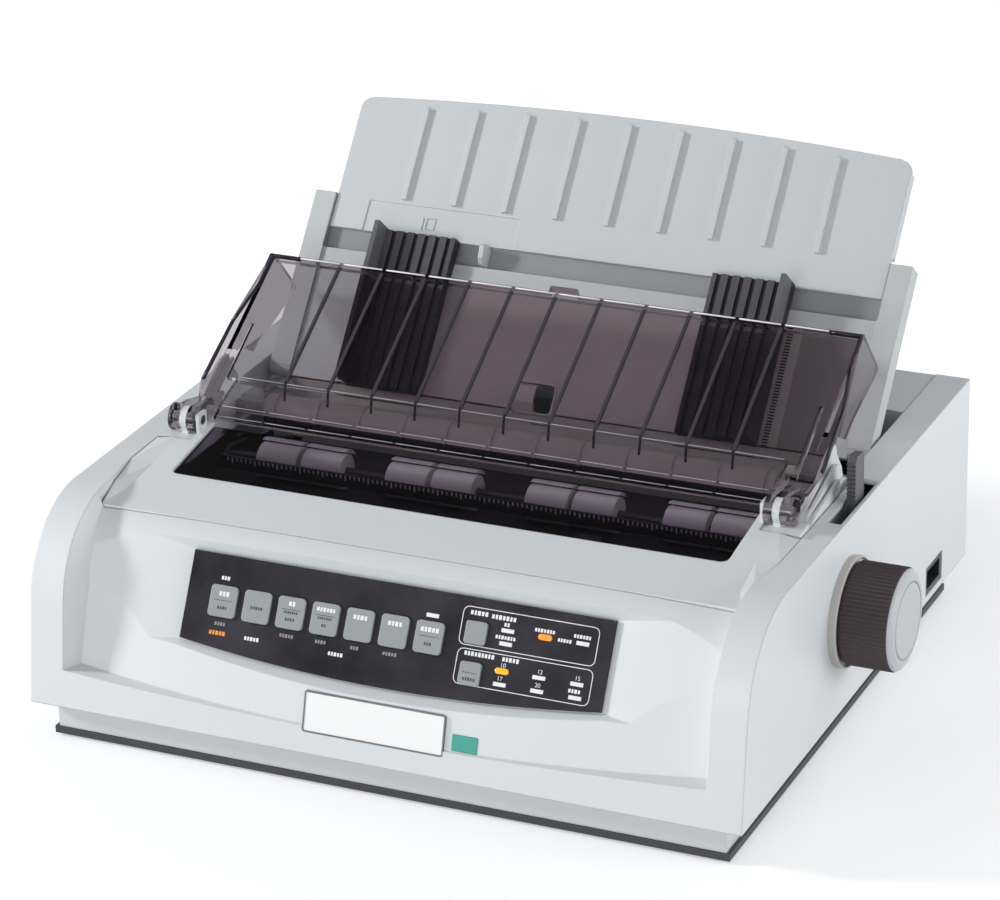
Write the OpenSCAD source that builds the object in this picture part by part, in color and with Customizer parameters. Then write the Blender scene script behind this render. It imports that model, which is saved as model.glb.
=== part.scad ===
// Dot matrix printer with a smoked hood, a folding sheet guide and a round platen knob.
// Millimetres. X runs to the right, -Y is the operator's side, Z is up.
// The origin lies on the table, midway between the cheeks and midway front to rear.

/* [Case] */
// Width over the two cheeks
body_w = 372; // [366:1:380]
// Depth of the case, front to rear
body_d = 330; // [328:1:336]
// Height of the cheeks at the rear
rear_top = 119; // [118:0.5:122]
// Height of the cheeks over the brow
brow_top = 117; // [115:0.5:118]
// Radius of the round brow of the cheeks
brow_r = 50; // [46:1:54]
// Distance from the front edge back to the centre of the brow
brow_back = 57; // [54:1:60]
// Lower edge of the upper case
case_z = 20; // [18:0.5:21]
// Wall of the mouldings
wall = 2.5; // [2:0.1:3]
// Width of each cheek
cheek_w = 18; // [17:0.5:19]
// Depth of the front face behind the cheeks
face_back = 6.5; // [6:0.5:8]
// Height of the front band at its middle
band_top = 33.5; // [32:0.5:36]
// Rise of the front band towards its ends
band_rise = 5.5; // [4:0.5:7]
// How far the ends of the face lie behind its middle
face_bulge = 11; // [8:0.5:12]

/* [Base] */
// Inset of the lower case behind the cheeks
skirt_inset = 10.5; // [9:0.5:12]
// Lower edge of the lower case
skirt_z = 5; // [4.5:0.5:6]
// Thickness of the black base pan
pan_t = 3.6; // [3:0.2:3.8]
// Diameter of the rubber feet
foot_d = 18; // [14:1:22]

/* [Operator panel] */
// Width of the dark panel
panel_w = 220; // [216:1:224]
// Height of the dark panel at its ends, along its slope
panel_h = 43; // [42:0.5:44]
// Lean of the dark panel from upright, degrees
panel_lean = 28.7; // [26:0.1:31]
// Thickness of the dark panel
panel_t = 2; // [1.6:0.1:2.4]
// Width of a key in the long row
key_w = 14.4; // [13:0.2:15]
// Height of a key
key_h = 15.5; // [14:0.5:16]
// Pitch of the long row of keys
key_pitch = 18.15; // [17.6:0.05:18.6]
// Side of the two small keys
small_key = 11; // [10:0.5:12]
// Stroke of a key
key_stroke = 0.8; // [0.5:0.1:1]

/* [Covers] */
// Pitch from the hood hinge to the lip of the hood
hood_reach = 117; // [112:1:118]
// Thickness of the smoked hood
hood_t = 2.5; // [2:0.1:3]
// Number of long ribs on the hood
hood_ribs = 11; // [9:1:13]
// Pitch of the hood ribs
hood_rib_pitch = 24.2; // [22:0.1:24.4]
// Radius of the round hinge ends of the hood
boss_r = 7; // [6:0.5:7.5]
// Radius of the hood hinge pins
hood_pin_r = 2.5; // [2:0.1:3]
// Radius of the sheet guide and lever pivots
pivot_r = 3; // [2.5:0.1:3.5]

/* [Sheet guide] */
// Width of the sheet guide panel
guide_w = 308; // [300:1:310]
// Length of the sheet guide along its slope
guide_len = 150; // [140:1:160]
// Lean of the sheet guide from upright, degrees
guide_lean = 39.2; // [38:0.1:41]
// Thickness of the sheet guide panel
guide_t = 3; // [2.5:0.1:3.5]
// Number of ribs on the sheet guide
guide_ribs = 9; // [7:1:9]
// Pitch of the sheet guide ribs
guide_rib_pitch = 28.8; // [26:0.1:30]
// Width of a paper guide
fence_w = 40; // [36:1:44]

/* [Paper feed] */
// Radius of the platen rubber
platen_r = 19; // [18:0.5:19.5]
// Length of the platen rubber
platen_len = 262; // [250:1:270]
// Radius of the platen shaft in its bearings
journal_r = 4; // [3.5:0.1:4.5]
// Radius of the platen knob
knob_r = 25; // [22:0.5:27]
// Length of the platen knob grip
knob_len = 28; // [24:1:32]
// Tooth module of the feed gears
gear_m = 0.8; // [0.7:0.05:0.8]
// Radius of the bail rollers
bail_r = 9; // [8:0.5:9.5]

/* [Carriage] */
// Radius of the carriage shaft
rod_r = 6; // [5:0.5:7]
// Travel of the carriage to each side
carriage_travel = 95; // [60:1:100]
// Pitch radius of the belt pulleys
pulley_r = 6; // [5:0.5:7]

/* [Hidden] */
$fn = 64;

// Colours
ivory = "#dfe0dc";
warm_grey = "#c9c6c0";
mid_grey = "#8e8c8b";
near_black = "#26242a";
smoke = "#5b4a66";
steel = "#b9bcc0";
brass = "#c7a24a";
rubber = "#1d1d1f";
brown_grey = "#857b77";
board_green = "#2f6b45";

// Clearances
run_fit = 0.05;
gap = 0.3;
seat = 0.02;

// Case
half_w = body_w / 2;
cheek_in = half_w - cheek_w;
front_y = -body_d / 2;
rear_y = body_d / 2;
brow_y = front_y + brow_back;
brow_z = brow_top - brow_r;
face_r = brow_r - face_back;
face_y = front_y + 2;
seam_back = 9.5;
seam_y = brow_y - seam_back;
seam_z = brow_z + sqrt(face_r * face_r - seam_back * seam_back);
face_tilt = asin(seam_back / face_r);
plan_r = cheek_in * cheek_in / (2 * face_bulge);
bevel_w = 5;
rebate_x = 172;
rebate_z = 111.6;
skirt_x = half_w - skirt_inset;
skirt_y = body_d / 2 - skirt_inset + 2.5;
floor_z = skirt_z + wall;
inner_wall_z = 60;

// Operator panel, at the middle of its front surface
panel_y = brow_y - 28.2;
panel_z = brow_z + 11.9;
panel_bulge = 7;
chamfer_top = 18;
wing_end = cheek_in - 3;
wing_h = 5;
key_row = -1;
first_key = -89.8;
lamp_places = [[57.6, 8.3], [57.7, 2.1], [95.6, 8.4], [77, -10.7], [96.1, -10.6],
    [58.1, -17], [77.1, -17], [96.3, -17], [76.7, 8.3], [58.2, -10.7], [18.8, 9.5]];
lamp_w = 6.4;
lamp_h = 1.9;
board_drop = 12;
board_t = 1.6;
lamp_stem = board_drop - board_t - seat;
nameplate_w = 73;
nameplate_h = 19.5;
nameplate_z = 40.5;
label_t = 0.3;
label_x = 47;
label_y = -2.2;
small_key_places = [[42.2, 4.9], [42.7, -14.3]];

// Side frames that carry the shafts
frame_x = 160;
frame_t = 2;

// Covers
cover_t = 3;
cover_slope = 9;
window_x = 147;
window_front = seam_y + 35;
window_rear = -36;
pane_rim = 1.4;
hood_y = -41.7;
hood_z = 126.7;
hood_rise = 25.8;
hood_x = 162;
ear_x = 149.6;
ear_w = 2;
saddle_r = 12;
bracket_z = rebate_z + gap;
strip_x = rebate_x - 0.6;
knuckle_in = 156.2;
knuckle_out = frame_x;
lip = [hood_y, hood_z] + hood_reach * [cos(hood_rise), sin(hood_rise)];
hood_slope = 30.9;
sheet_len = hood_reach - 35.7;
notch_at = 45.5;
hood_tail = [[0, 0], [2.86, -3.12], [10.26, -11.82], [18.86, -21.42], [22.56, -26.52],
    [17.96, -29.12], [-13.74, -39.82]];
arm_end = hood_reach - 19;

// Sheet guide, whose plane starts at the bottom of its frame
guide_y = 60.7;
guide_z = 112;
guide_hinge = 5;
post_w = 12.5;
post_len = 103;
guide_half = guide_w / 2;
slot_low = 72.6;
slot_high = 84.5;
guide_low = -1;
chute_low = -9;
flag_x = [-26, -5];
flag_h = 15;
guide_top = guide_len + 8.5;
guide_arch_r = (guide_half * guide_half + 30) / 11;

// Paper feed
platen_y = -24;
platen_z = 71;
gear_x0 = -frame_x - 7.3;
gear_w = 4;
platen_teeth = 48;
idler_teeth = 36;
pinion_teeth = 12;
train_teeth = 60;
tractor_teeth = 24;
function pitch_r(n) = gear_m * n / 2;
function step_to(from, n1, n2, angle) = from + (pitch_r(n1) + pitch_r(n2)) * [cos(angle), sin(angle)];
idler_angle = -75;
pinion_angle = -10;
train_a_angle = 8;
train_b_angle = 4;
tractor_angle = -5;
platen_c = [platen_y, platen_z];
idler_c = step_to(platen_c, platen_teeth, idler_teeth, idler_angle);
pinion_c = step_to(idler_c, idler_teeth, pinion_teeth, pinion_angle);
train_a_c = step_to(platen_c, platen_teeth, train_teeth, train_a_angle);
train_b_c = step_to(train_a_c, train_teeth, train_teeth, train_b_angle);
tractor_c = step_to(train_b_c, train_teeth, tractor_teeth, tractor_angle);
tractor_rod_c = [tractor_c[0] - 22, tractor_c[1] - 8];
tractor_rod_r = 3;
tractor_shaft_r = 4;
bail_c = platen_c + (platen_r + bail_r + gap) * [sin(12.3), cos(12.3)];
bail_pivot = [22, 91];
bail_rod_r = 2.5;
bail_starts = [-129, -57, 19, 92];
roller_w = 22;
roller_step = 25;
roll_c = [10, 114];
roll_r = 8;
roll_half = 139;
roll_end_r = 4;
stud_r = 2.5;

// Carriage
rod_c = [-78, 38];
carriage_x = 100;
bed_z = 11;
bed_t = 2;
bed_rear = 58;
belt_y = -106;
belt_z = 40;
cable_y = belt_y - 17;
belt_h = 6;
belt_t = 1.4;
motor_r = 17;
belt_half = frame_x - motor_r - 1;
motor_post_r = 2.5;

// Lever
lever_y = 2;
lever_z = 92;
lever_x = 178.5;
lever_w = 4.3;

// Sockets and boards at the rear
inlet_y = rear_y - 53;
inlet_z = 31.5;
paper_slot_x = 125;
paper_slot_z = 86;
board_z = 24;
board_low = [-145, rear_y - 97];
board_high = [44, rear_y - 15];
psu_c = [102, inlet_y];
port_x = -70;
usb_x = -15;
switch_x = 110;
switch_z = 52;
switch_c = [rear_y - 7, switch_z];
switch_pin_r = 1.5;

// Extrudes a front-to-rear outline along the width
module along_x(x0, x1) translate([x0, 0, 0]) rotate([90, 0, 90]) linear_extrude(x1 - x0) children();
module both_sides() { children(); mirror([1, 0, 0]) children(); }
module slab(low, high) translate(low) cube(high - low);
module rod_x(x0, x1, c, r) along_x(x0, x1) translate(c) circle(r);
// A plate with round corners, centred, with its lower face at zero
module rounded(w, h, r, t) linear_extrude(t) {
    square([w - 2 * r, h], center = true);
    square([w, h - 2 * r], center = true);
    for (x = [-1, 1], y = [-1, 1]) translate([x * (w / 2 - r), y * (h / 2 - r)]) circle(r);
}
module on_panel() translate([0, panel_y, panel_z]) rotate([90 - panel_lean, 0, 0]) children();
module on_guide() translate([0, guide_y, guide_z]) rotate([90 - guide_lean, 0, 0]) children();

// The point where a line from p touches a circle on its front side
function touch(p, c, r) = let (d = norm(c - p), a = atan2(c[1] - p[1], c[0] - p[0]) + asin(r / d))
    p + sqrt(d * d - r * r) * [cos(a), sin(a)];
// A round brow of radius r over a sloping front that starts at p
module brow(r, p, rear, top_rear) {
    c = [brow_y, brow_z];
    intersection() {
        translate(c) circle(r, $fn = 128);
        translate(c - [r + 1, 0]) square(r + 1);
    }
    polygon([p, touch(p, c, r), c, c + [0, r], [rear, top_rear], [rear, p[1]]]);
}
module cheek_outline(inset) brow(brow_r - inset, [front_y + inset, case_z + inset],
    rear_y - inset, rear_top - inset);
module face_outline(inset) brow(face_r - inset, [face_y + inset, band_top - wall], 0, seam_z);
// The face bulges towards the operator: its outline turns about a far axis that leans forward
module bulged() translate([0, brow_y, brow_z]) rotate([face_tilt, 0, 0]) translate([0, plan_r, 0])
    rotate([0, 0, -98]) rotate_extrude(angle = 16, $fn = 720)
        translate([plan_r, 0]) mirror([1, 0]) rotate(-face_tilt) translate([-brow_y, -brow_z]) children();
// Everything under the arched top of the front band
module band_mask(dz) translate([0, seam_y, 0]) rotate([90, 0, 0]) linear_extrude(seam_y - front_y + 5)
    polygon(concat([for (i = [-12:12]) [i * cheek_in / 12, band_top + band_rise * i * i / 144 + dz]],
        [[cheek_in, 0], [-cheek_in, 0]]));

// Outline of the dark panel: straight top and a bottom edge that bulges
module panel_outline(grow) {
    w = panel_w / 2 + grow;
    h = panel_h / 2 + grow;
    r = (w * w + panel_bulge * panel_bulge) / (2 * panel_bulge);
    translate([-w, -h]) square([2 * w, 2 * h]);
    intersection() {
        translate([0, -h - panel_bulge + r]) circle(r, $fn = 256);
        translate([-w, -h - panel_bulge]) square([2 * w, panel_bulge + 1]);
    }
}
// The pocket around the dark panel: chamfers above and below, a shallow wing on each side
module pocket(grow) on_panel() difference() {
    h = panel_h / 2 + gap + grow;
    w = panel_w / 2 + gap + grow;
    arc_r = (w * w + panel_bulge * panel_bulge) / (2 * panel_bulge);
    union() {
        along_x(-cheek_in, cheek_in) polygon([[-h, -grow], [h, -grow], [h + chamfer_top + grow, chamfer_top],
            [-h - chamfer_top - grow, chamfer_top]]);
        intersection() {
            translate([0, arc_r - h - panel_bulge, -grow])
                cylinder(r1 = arc_r, r2 = arc_r + chamfer_top + grow, h = chamfer_top + grow, $fn = 512);
            slab([-w - 3, -h - panel_bulge - chamfer_top - grow, -grow - 1], [w + 3, 0, chamfer_top]);
        }
    }
    both_sides() intersection() {
        wing_r = ((wing_end - w) * (wing_end - w) + wing_h * wing_h) / (2 * wing_h);
        translate([wing_end, 0, wing_h - wing_r]) rotate([90, 0, 0])
            cylinder(r = wing_r - grow, h = 200, center = true, $fn = 512);
        slab([w + grow / 3, -100, -10], [cheek_in + 1, 100, wing_h + 1]);
    }
}
module key_window() on_panel() translate([0, key_row - 3, -wall - 1]) linear_extrude(wall + 2)
    square([panel_w - 12, 34], center = true);

module front_wall() {
    intersection() {
        along_x(-cheek_in, cheek_in) difference() { cheek_outline(0); cheek_outline(wall); }
        slab([-cheek_in, front_y - 1, case_z], [cheek_in, front_y + 20, band_top + band_rise]);
        band_mask(0);
    }
    intersection() {
        along_x(-cheek_in, cheek_in) cheek_outline(0);
        slab([-cheek_in, front_y - 1, case_z],
            [cheek_in, face_y + face_bulge + wall + 1, band_top + band_rise]);
        difference() { band_mask(0); band_mask(-wall); }
    }
    difference() {
        intersection() {
            bulged() face_outline(0);
            union() {
                difference() { bulged() face_outline(-1); bulged() face_outline(wall); }
                pocket(wall);
            }
            slab([-cheek_in, front_y, band_top - wall], [cheek_in, seam_y, brow_top]);
        }
        band_mask(-wall);
    }
}
// Sloping rim between a cheek and the face
module rim() difference() {
    intersection() {
        hull() {
            along_x(cheek_in - bevel_w, cheek_in - bevel_w + 0.1)
                cheek_outline(face_back + face_bulge - wall);
            along_x(cheek_in + 0.1, cheek_in + 0.2) cheek_outline(gap);
        }
        slab([0, front_y, band_top - wall], [cheek_in + 1, seam_y, brow_top]);
    }
    along_x(cheek_in - bevel_w - 1, cheek_in + 1) cheek_outline(face_back + face_bulge);
    band_mask(-wall);
}

module upper_case() color(ivory) {
    case_shell();
    both_sides() rim();
}
module case_shell() difference() {
    union() {
        both_sides() along_x(cheek_in, half_w) cheek_outline(0);
        front_wall();
        intersection() {
            along_x(-half_w, half_w) cheek_outline(0);
            slab([-half_w, front_y, case_z], [half_w, rear_y, case_z + wall]);
        }
        slab([-cheek_in, rear_y - wall, case_z], [cheek_in, rear_y, rear_top - 3]);
        rod_x(half_w - wall, half_w + 2.5, platen_c, knob_r + 2);
    }
    // Hollow of each cheek, open to the inside below its inner wall
    both_sides() along_x(rebate_x + wall, half_w - wall) cheek_outline(wall);
    both_sides() intersection() {
        along_x(cheek_in + wall, half_w - wall) cheek_outline(wall);
        slab([cheek_in, front_y, 0], [half_w, rear_y, rebate_z - wall]);
    }
    both_sides() slab([cheek_in - 0.1, front_y + 13, case_z + wall],
        [cheek_in + wall + 0.1, rear_y - wall, inner_wall_z]);
    // Rebate that takes the side strips of the cover and the hinge brackets
    both_sides() translate([0, 0, rebate_z]) linear_extrude(20)
        polygon([[cheek_in - 1, -106], [cheek_in + 0.4, -102], [rebate_x - 0.2, -77], [rebate_x, -60],
            [rebate_x, 34], [cheek_in - 1, 34]]);
    slab([-skirt_x + wall - gap, -skirt_y + wall - gap, case_z - 1],
        [skirt_x - wall + gap, skirt_y - wall + gap, case_z + wall + 0.1]);
    pocket(0);
    key_window();
    on_nameplate() rounded(nameplate_w + 2 * gap, nameplate_h + 2 * gap, 1.3, 4);
    // Bores for the platen shaft, the guide hinge and the lever
    rod_x(cheek_in - 1, half_w + 5, platen_c, journal_r + 1);
    both_sides() rod_x(cheek_in - 1, cheek_in + wall + 1, guide_pivot(), pivot_r + run_fit);
    rod_x(cheek_in - 1, cheek_in + wall + 1, [lever_y, lever_z], pivot_r + run_fit);
    // Slot for the paper lever and mouth of the power inlet
    slab([lever_x - 1.9, lever_y - 30, brow_top - 6], [half_w - 2, lever_y + 24, rear_top + 1]);
    slab([half_w - wall - 1, inlet_y - 13, inlet_z - 8], [half_w + 1, inlet_y + 13, inlet_z + 8]);
    // Paper slot, connectors and switch in the rear wall
    slab([-paper_slot_x, rear_y - wall - 1, paper_slot_z], [paper_slot_x, rear_y + 1, paper_slot_z + 12]);
    slab([port_x - 29, rear_y - wall - 1, board_z + board_t - gap], [port_x + 29, rear_y + 1, board_z + 15]);
    slab([usb_x - 7, rear_y - wall - 1, board_z + board_t - gap], [usb_x + 7, rear_y + 1, board_z + 14]);
    slab([switch_x - 11, rear_y - wall - 1, switch_z - 9], [switch_x + 11, rear_y + 1, switch_z + 8.5]);
}
function guide_pivot() = [guide_y, guide_z] + guide_hinge * [sin(guide_lean), cos(guide_lean)]
    + 6 * [cos(guide_lean), -sin(guide_lean)];

module lower_case() color(warm_grey) {
    difference() {
        slab([-skirt_x, -skirt_y, skirt_z], [skirt_x, skirt_y, case_z]);
        slab([-skirt_x + wall, -skirt_y + wall, floor_z], [skirt_x - wall, skirt_y - wall, case_z + 1]);
    }
    for (x = [-140, 140], y = [-110, 45]) translate([x, y, skirt_z + 1])
        cylinder(r = 5, h = bed_z - skirt_z - 1);
    for (x = [board_low[0] + 7, board_high[0] - 8], y = [board_low[1] + 8, board_high[1] - 6])
        translate([x, y, skirt_z + 1])
            cylinder(r = 4, h = board_z - skirt_z - 1);
}
module base_pan() color(near_black)
    slab([-skirt_x - 2, -skirt_y - 1, skirt_z - pan_t], [skirt_x + 2, skirt_y, skirt_z]);
module rubber_feet() color(rubber) for (x = [-1, 1], y = [-1, 1])
    translate([x * (skirt_x - 25.5), y * (skirt_y - 25), 0]) cylinder(d = foot_d, h = skirt_z - pan_t);

module rear_cover() color(warm_grey) {
    slab([-cheek_in + gap, rear_y - 53, rear_top - 3], [cheek_in - gap, rear_y, rear_top - 0.5]);
    slab([-cheek_in + gap, rear_y - 53, rear_top - 22], [cheek_in - gap, rear_y - 53 + wall, rear_top - 2]);
}

// Operator panel, keys and lamps
module key_hole(x, y, w, h, r, depth) translate([x, y, -1]) rounded(w, h, r, depth);
module operator_panel() color(near_black) on_panel() difference() {
    linear_extrude(panel_t) panel_outline(0);
    for (i = [0:6])
        key_hole(first_key + i * key_pitch, key_row, key_w + 2 * gap, key_h + 2 * gap, 2, panel_t + 2);
    for (p = small_key_places)
        key_hole(p[0], p[1], small_key + 2 * gap, small_key + 2 * gap, 1.5, panel_t + 2);
    for (p = lamp_places) translate([p[0], p[1], panel_t / 2])
        cube([lamp_w + 0.1, lamp_h + 0.1, panel_t + 1], center = true);
}
module panel_lamps() color("white") on_panel() for (p = lamp_places)
    translate([p[0] - lamp_w / 2, p[1] - lamp_h / 2, -lamp_stem])
        cube([lamp_w, lamp_h, lamp_stem + panel_t + 0.3]);
module key(x, y, w, h, r) color(mid_grey) on_panel() translate([x, y, 0]) {
    translate([0, 0, -2]) rounded(w, h, r, panel_t + 3.3);
    translate([0, 0, -2]) rounded(w + 2.2, h + 2.2, r, 1.6);
    translate([0, 0, -board_drop + 3.5 + key_stroke + 0.1]) cylinder(r = 2.5, h = board_drop - 5);
}
module row_key(i) key(first_key + (i - 1) * key_pitch, key_row, key_w, key_h, 2);
module key_1() row_key(1);
module key_2() row_key(2);
module key_3() row_key(3);
module key_4() row_key(4);
module key_5() row_key(5);
module key_6() row_key(6);
module key_7() row_key(7);
module quality_key() key(small_key_places[0][0], small_key_places[0][1], small_key, small_key, 1.5);
module pitch_key() key(small_key_places[1][0], small_key_places[1][1], small_key, small_key, 1.5);
module control_board() color(board_green) on_panel() {
    translate([0, -3, -board_drop]) {
        translate([-panel_w / 2 + 8, -16, 0]) cube([panel_w - 16, 32, board_t]);
        for (x = [-1, 1]) translate([x * (panel_w / 2 - 9), 0, board_t])
            cylinder(r = 2, h = board_drop - board_t - wall);
    }
    for (i = [0:6]) translate([first_key + i * key_pitch, key_row, -board_drop]) cylinder(r = 3, h = 3.5);
    for (p = small_key_places) translate([p[0], p[1], -board_drop]) cylinder(r = 3, h = 3.5);
}
// The sloping part of the face at the middle of the nameplate, a little below its surface
module on_nameplate() {
    foot = [face_y, band_top - wall];
    top = touch(foot, [brow_y, brow_z], face_r);
    lean = atan2(top[0] - foot[0], top[1] - foot[1]);
    translate([-1, foot[0] + (nameplate_z - foot[1]) * tan(lean), nameplate_z]) rotate([90 - lean, 0, 0])
        translate([0, 0, -0.9]) children();
}
module nameplate() color("white") {
    on_nameplate() translate([0, 0, seat]) rounded(nameplate_w, nameplate_h, 1, 1.3);
    // Small label beside it
    intersection() {
        difference() { bulged() face_outline(-label_t); bulged() face_outline(-seat); }
        on_nameplate() translate([label_x, label_y, -2]) rounded(13, 8, 0.6, 6);
    }
}

// Access cover with its window
function cover_z(y) = seam_z + (y - seam_y) * tan(cover_slope);
module pane(y0, y1, high, low) polygon([[y0, cover_z(y0) - high], [y1, cover_z(y1) - high],
    [y1, cover_z(y1) - low], [y0, cover_z(y0) - low]]);
module cover_strip(t) pane(seam_y + 0.5, window_rear + 2, 0, t);
// Stations of the side strip, front to rear: y, inner x, outer x and outer height
strip = [[seam_y + 0.5, 163.5, 166.6, 109.7], [-102, 161.5, 167.6, 115], [-77, 159.6, 171.2, 117],
    [-48, 160.2, 171.4, 117.4]];
module side_strip() polyhedron(
    points = [for (s = strip) each [[s[1], s[0], cover_z(s[0])], [s[2], s[0], s[3]],
        [s[2], s[0], s[3] - cover_t], [s[1], s[0], cover_z(s[0]) - cover_t]]],
    faces = concat([[0, 1, 2, 3], [15, 14, 13, 12]],
        [for (i = [0:2], k = [0:3]) each [[4 * i + k, 4 * i + 4 + k, 4 * i + (k + 1) % 4],
            [4 * i + (k + 1) % 4, 4 * i + 4 + k, 4 * i + 4 + (k + 1) % 4]]]));
module cover_plan() polygon(concat([for (s = strip) [s[1] + 0.2, s[0]]], [[strip[3][1] + 0.2, 0]],
    [[-strip[3][1] - 0.2, 0]], [for (i = [3:-1:0]) [-strip[i][1] - 0.2, strip[i][0]]]));
module access_cover() color(ivory) difference() {
    union() {
        intersection() {
            along_x(-cheek_in, cheek_in) cover_strip(cover_t);
            linear_extrude(200) cover_plan();
        }
        both_sides() side_strip();
        along_x(-strip[1][1], strip[1][1]) translate([seam_y + 2, seam_z - 5]) square([wall, 5]);
        both_sides() slab([ear_x, hood_y - 4, cover_z(hood_y) - 2], [ear_x + ear_w, hood_y + 4, hood_z + 4]);
    }
    window_plan(0, 4);
    both_sides() rod_x(ear_x - 1, ear_x + ear_w + 1, [hood_y, hood_z], hood_pin_r + run_fit);
    both_sides() rod_x(ear_x + ear_w, half_w, [hood_y, hood_z], saddle_r + 0.5);
    both_sides() slab([ear_x + ear_w, hood_y - 3, 100], [half_w, hood_y + 30, 140]);
}
module window_plan(inset, r) translate([0, (window_front + window_rear + 10) / 2, 0])
    rounded(2 * (window_x - inset), window_rear + 10 - window_front - 2 * inset, r, hood_z);
// A clear pane that fills the opening from below, with a rim against the underside of the cover
module cover_window() color(smoke, 0.6) {
    intersection() {
        along_x(-half_w, half_w) pane(window_front, window_rear, 1, cover_t + pane_rim);
        window_plan(gap, 4 - gap);
    }
    intersection() {
        along_x(-half_w, half_w) pane(window_front - 4, window_rear, cover_t + seat, cover_t + pane_rim);
        window_plan(-3, 4);
    }
}
module hinge_line(x0, x1, r) both_sides() rod_x(x0, x1, [hood_y, hood_z], r);
// Fixed brackets: a knuckle in the slot of each hood arm, a saddle under it and a stepped arm outside
module hood_brackets() color(ivory) both_sides() difference() {
    union() {
        along_x(knuckle_in, cheek_in - gap)
            polygon([[-50, 104], [-50, 111], [-38, 116], [-30, 118.5], [24, 118.5], [36, 112], [38, 104]]);
        along_x(knuckle_in, knuckle_out) {
            translate([hood_y, hood_z]) circle(boss_r - 1);
            translate([hood_y - 4, 112]) square([8, hood_z - 112]);
        }
        along_x(ear_x + ear_w + 0.4, strip_x) saddle(boss_r + 0.5);
        along_x(hood_x + 4.4, strip_x) saddle(0.1);
        along_x(hood_x + 1.9, strip_x) polygon([[-41, bracket_z], [-41, 117.5], [-33, 118.3], [-26, 120],
            [0, 121], [5, 118], [4, bracket_z]]);
        // The three steps of the arm, from the inside out
        along_x(hood_x + 1.9, hood_x + 3.9) polygon([[-33, 112], [-33, 116], [-20, 123.3], [4, 137],
            [8, 138.8], [15, 139], [17, 133], [24, 124], [28, 112]]);
        along_x(cheek_in - 1, cheek_in + 0.8) polygon([[-33, bracket_z], [-33, 118.3], [-26, 121.5],
            [8, 131.3], [11, 130.8], [13, 124], [8, bracket_z]]);
        along_x(strip_x - 1.6, strip_x) polygon([[-33, bracket_z], [-33, 118.2], [-28, 120.5], [4, 125.4],
            [6.5, 125], [5, 117], [3, bracket_z]]);
    }
    rod_x(0, half_w, roll_c, roll_end_r + gap);
    rod_x(knuckle_in - 1, knuckle_out + 1, [hood_y, hood_z], hood_pin_r + 0.01);
}
module saddle(hole) intersection() {
    translate([hood_y, hood_z]) difference() { circle(saddle_r); circle(hole); }
    polygon([[-56, bracket_z], [-56, cover_z(-56)], [hood_y + 4, cover_z(hood_y + 4) - 2],
        [hood_y + 4, bracket_z]]);
}
module hood_hinge_pins() color(steel) hinge_line(ear_x, hood_x + 3.2, hood_pin_r);

// Smoked hood: a flat ribbed sheet, a rounded nose, two arms and two side walls
module on_hood() translate([0, lip[0], lip[1]]) rotate([hood_slope, 0, 0]) children();
module hood_plan() both_sides() polygon([[0, 0], [hood_x, 0], [hood_x + 4.7, -notch_at],
    [hood_x + 5.8, -arm_end + 14], [hood_x + 2, -arm_end],
    [ear_x + 2.8, -arm_end], [ear_x + 2.8, -arm_end + 8], [knuckle_in, -arm_end + 8], [knuckle_in, -notch_at],
    [knuckle_in - 1.8, -notch_at], [knuckle_in - 1.8, -sheet_len], [0, -sheet_len]]);
module hood_nose() polygon([[-6, 135.9], [-18, 132.2], [-26.6, 128.2], [-32.5, 124.6], [-31.2, 122.4],
    [-25.4, 125.8], [-17.3, 129.6], [-4.6, 133.6]]);
module hood_link() polygon([[hood_y, hood_z + boss_r], [-34, 133], [-18, 129.2], [-16, 126.6],
    [-22, 123], [-38, 120.7]]);
module hood_wall() polygon(concat([for (p = hood_tail) lip + p],
    [[38.3, 131.8], [24, 139.5], [12, 143], [-17, 126.5], [-18, 128.6]]));
module smoked_hood() color(smoke, 0.6) difference() {
    union() {
        on_hood() translate([0, 0, -hood_t]) linear_extrude(hood_t) hood_plan();
        on_hood() {
            slab([-hood_x, -2, -5], [hood_x, 0, 0]);
            slab([-4.8, -1, -5], [10, 3, 1]);
            for (i = [0:hood_ribs - 1]) translate([(i - (hood_ribs - 1) / 2) * hood_rib_pitch, 0, 0])
                slab([-0.7, -sheet_len, -0.1], [0.7, -2, 1]);
        }
        along_x(1 - ear_x, ear_x - 1) hood_nose();
        for (p = [[-6, 135.6], [-26.6, 127.9], [-31.6, 124.4]]) rod_x(1 - ear_x, ear_x - 1, p, 1.1);
        both_sides() along_x(knuckle_out + gap, knuckle_out + gap + hood_t) hood_wall();
        both_sides() along_x(knuckle_out + gap, knuckle_out + gap + hood_t) hood_link();
        both_sides() along_x(ear_x + ear_w + 0.4, knuckle_in - gap) hood_link();
        hinge_line(knuckle_out + gap, hood_x + 4, boss_r);
        hinge_line(ear_x + ear_w + 0.4, knuckle_in - gap, boss_r);
    }
    hinge_line(ear_x, hood_x + 3.6, hood_pin_r + run_fit);
}

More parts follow.
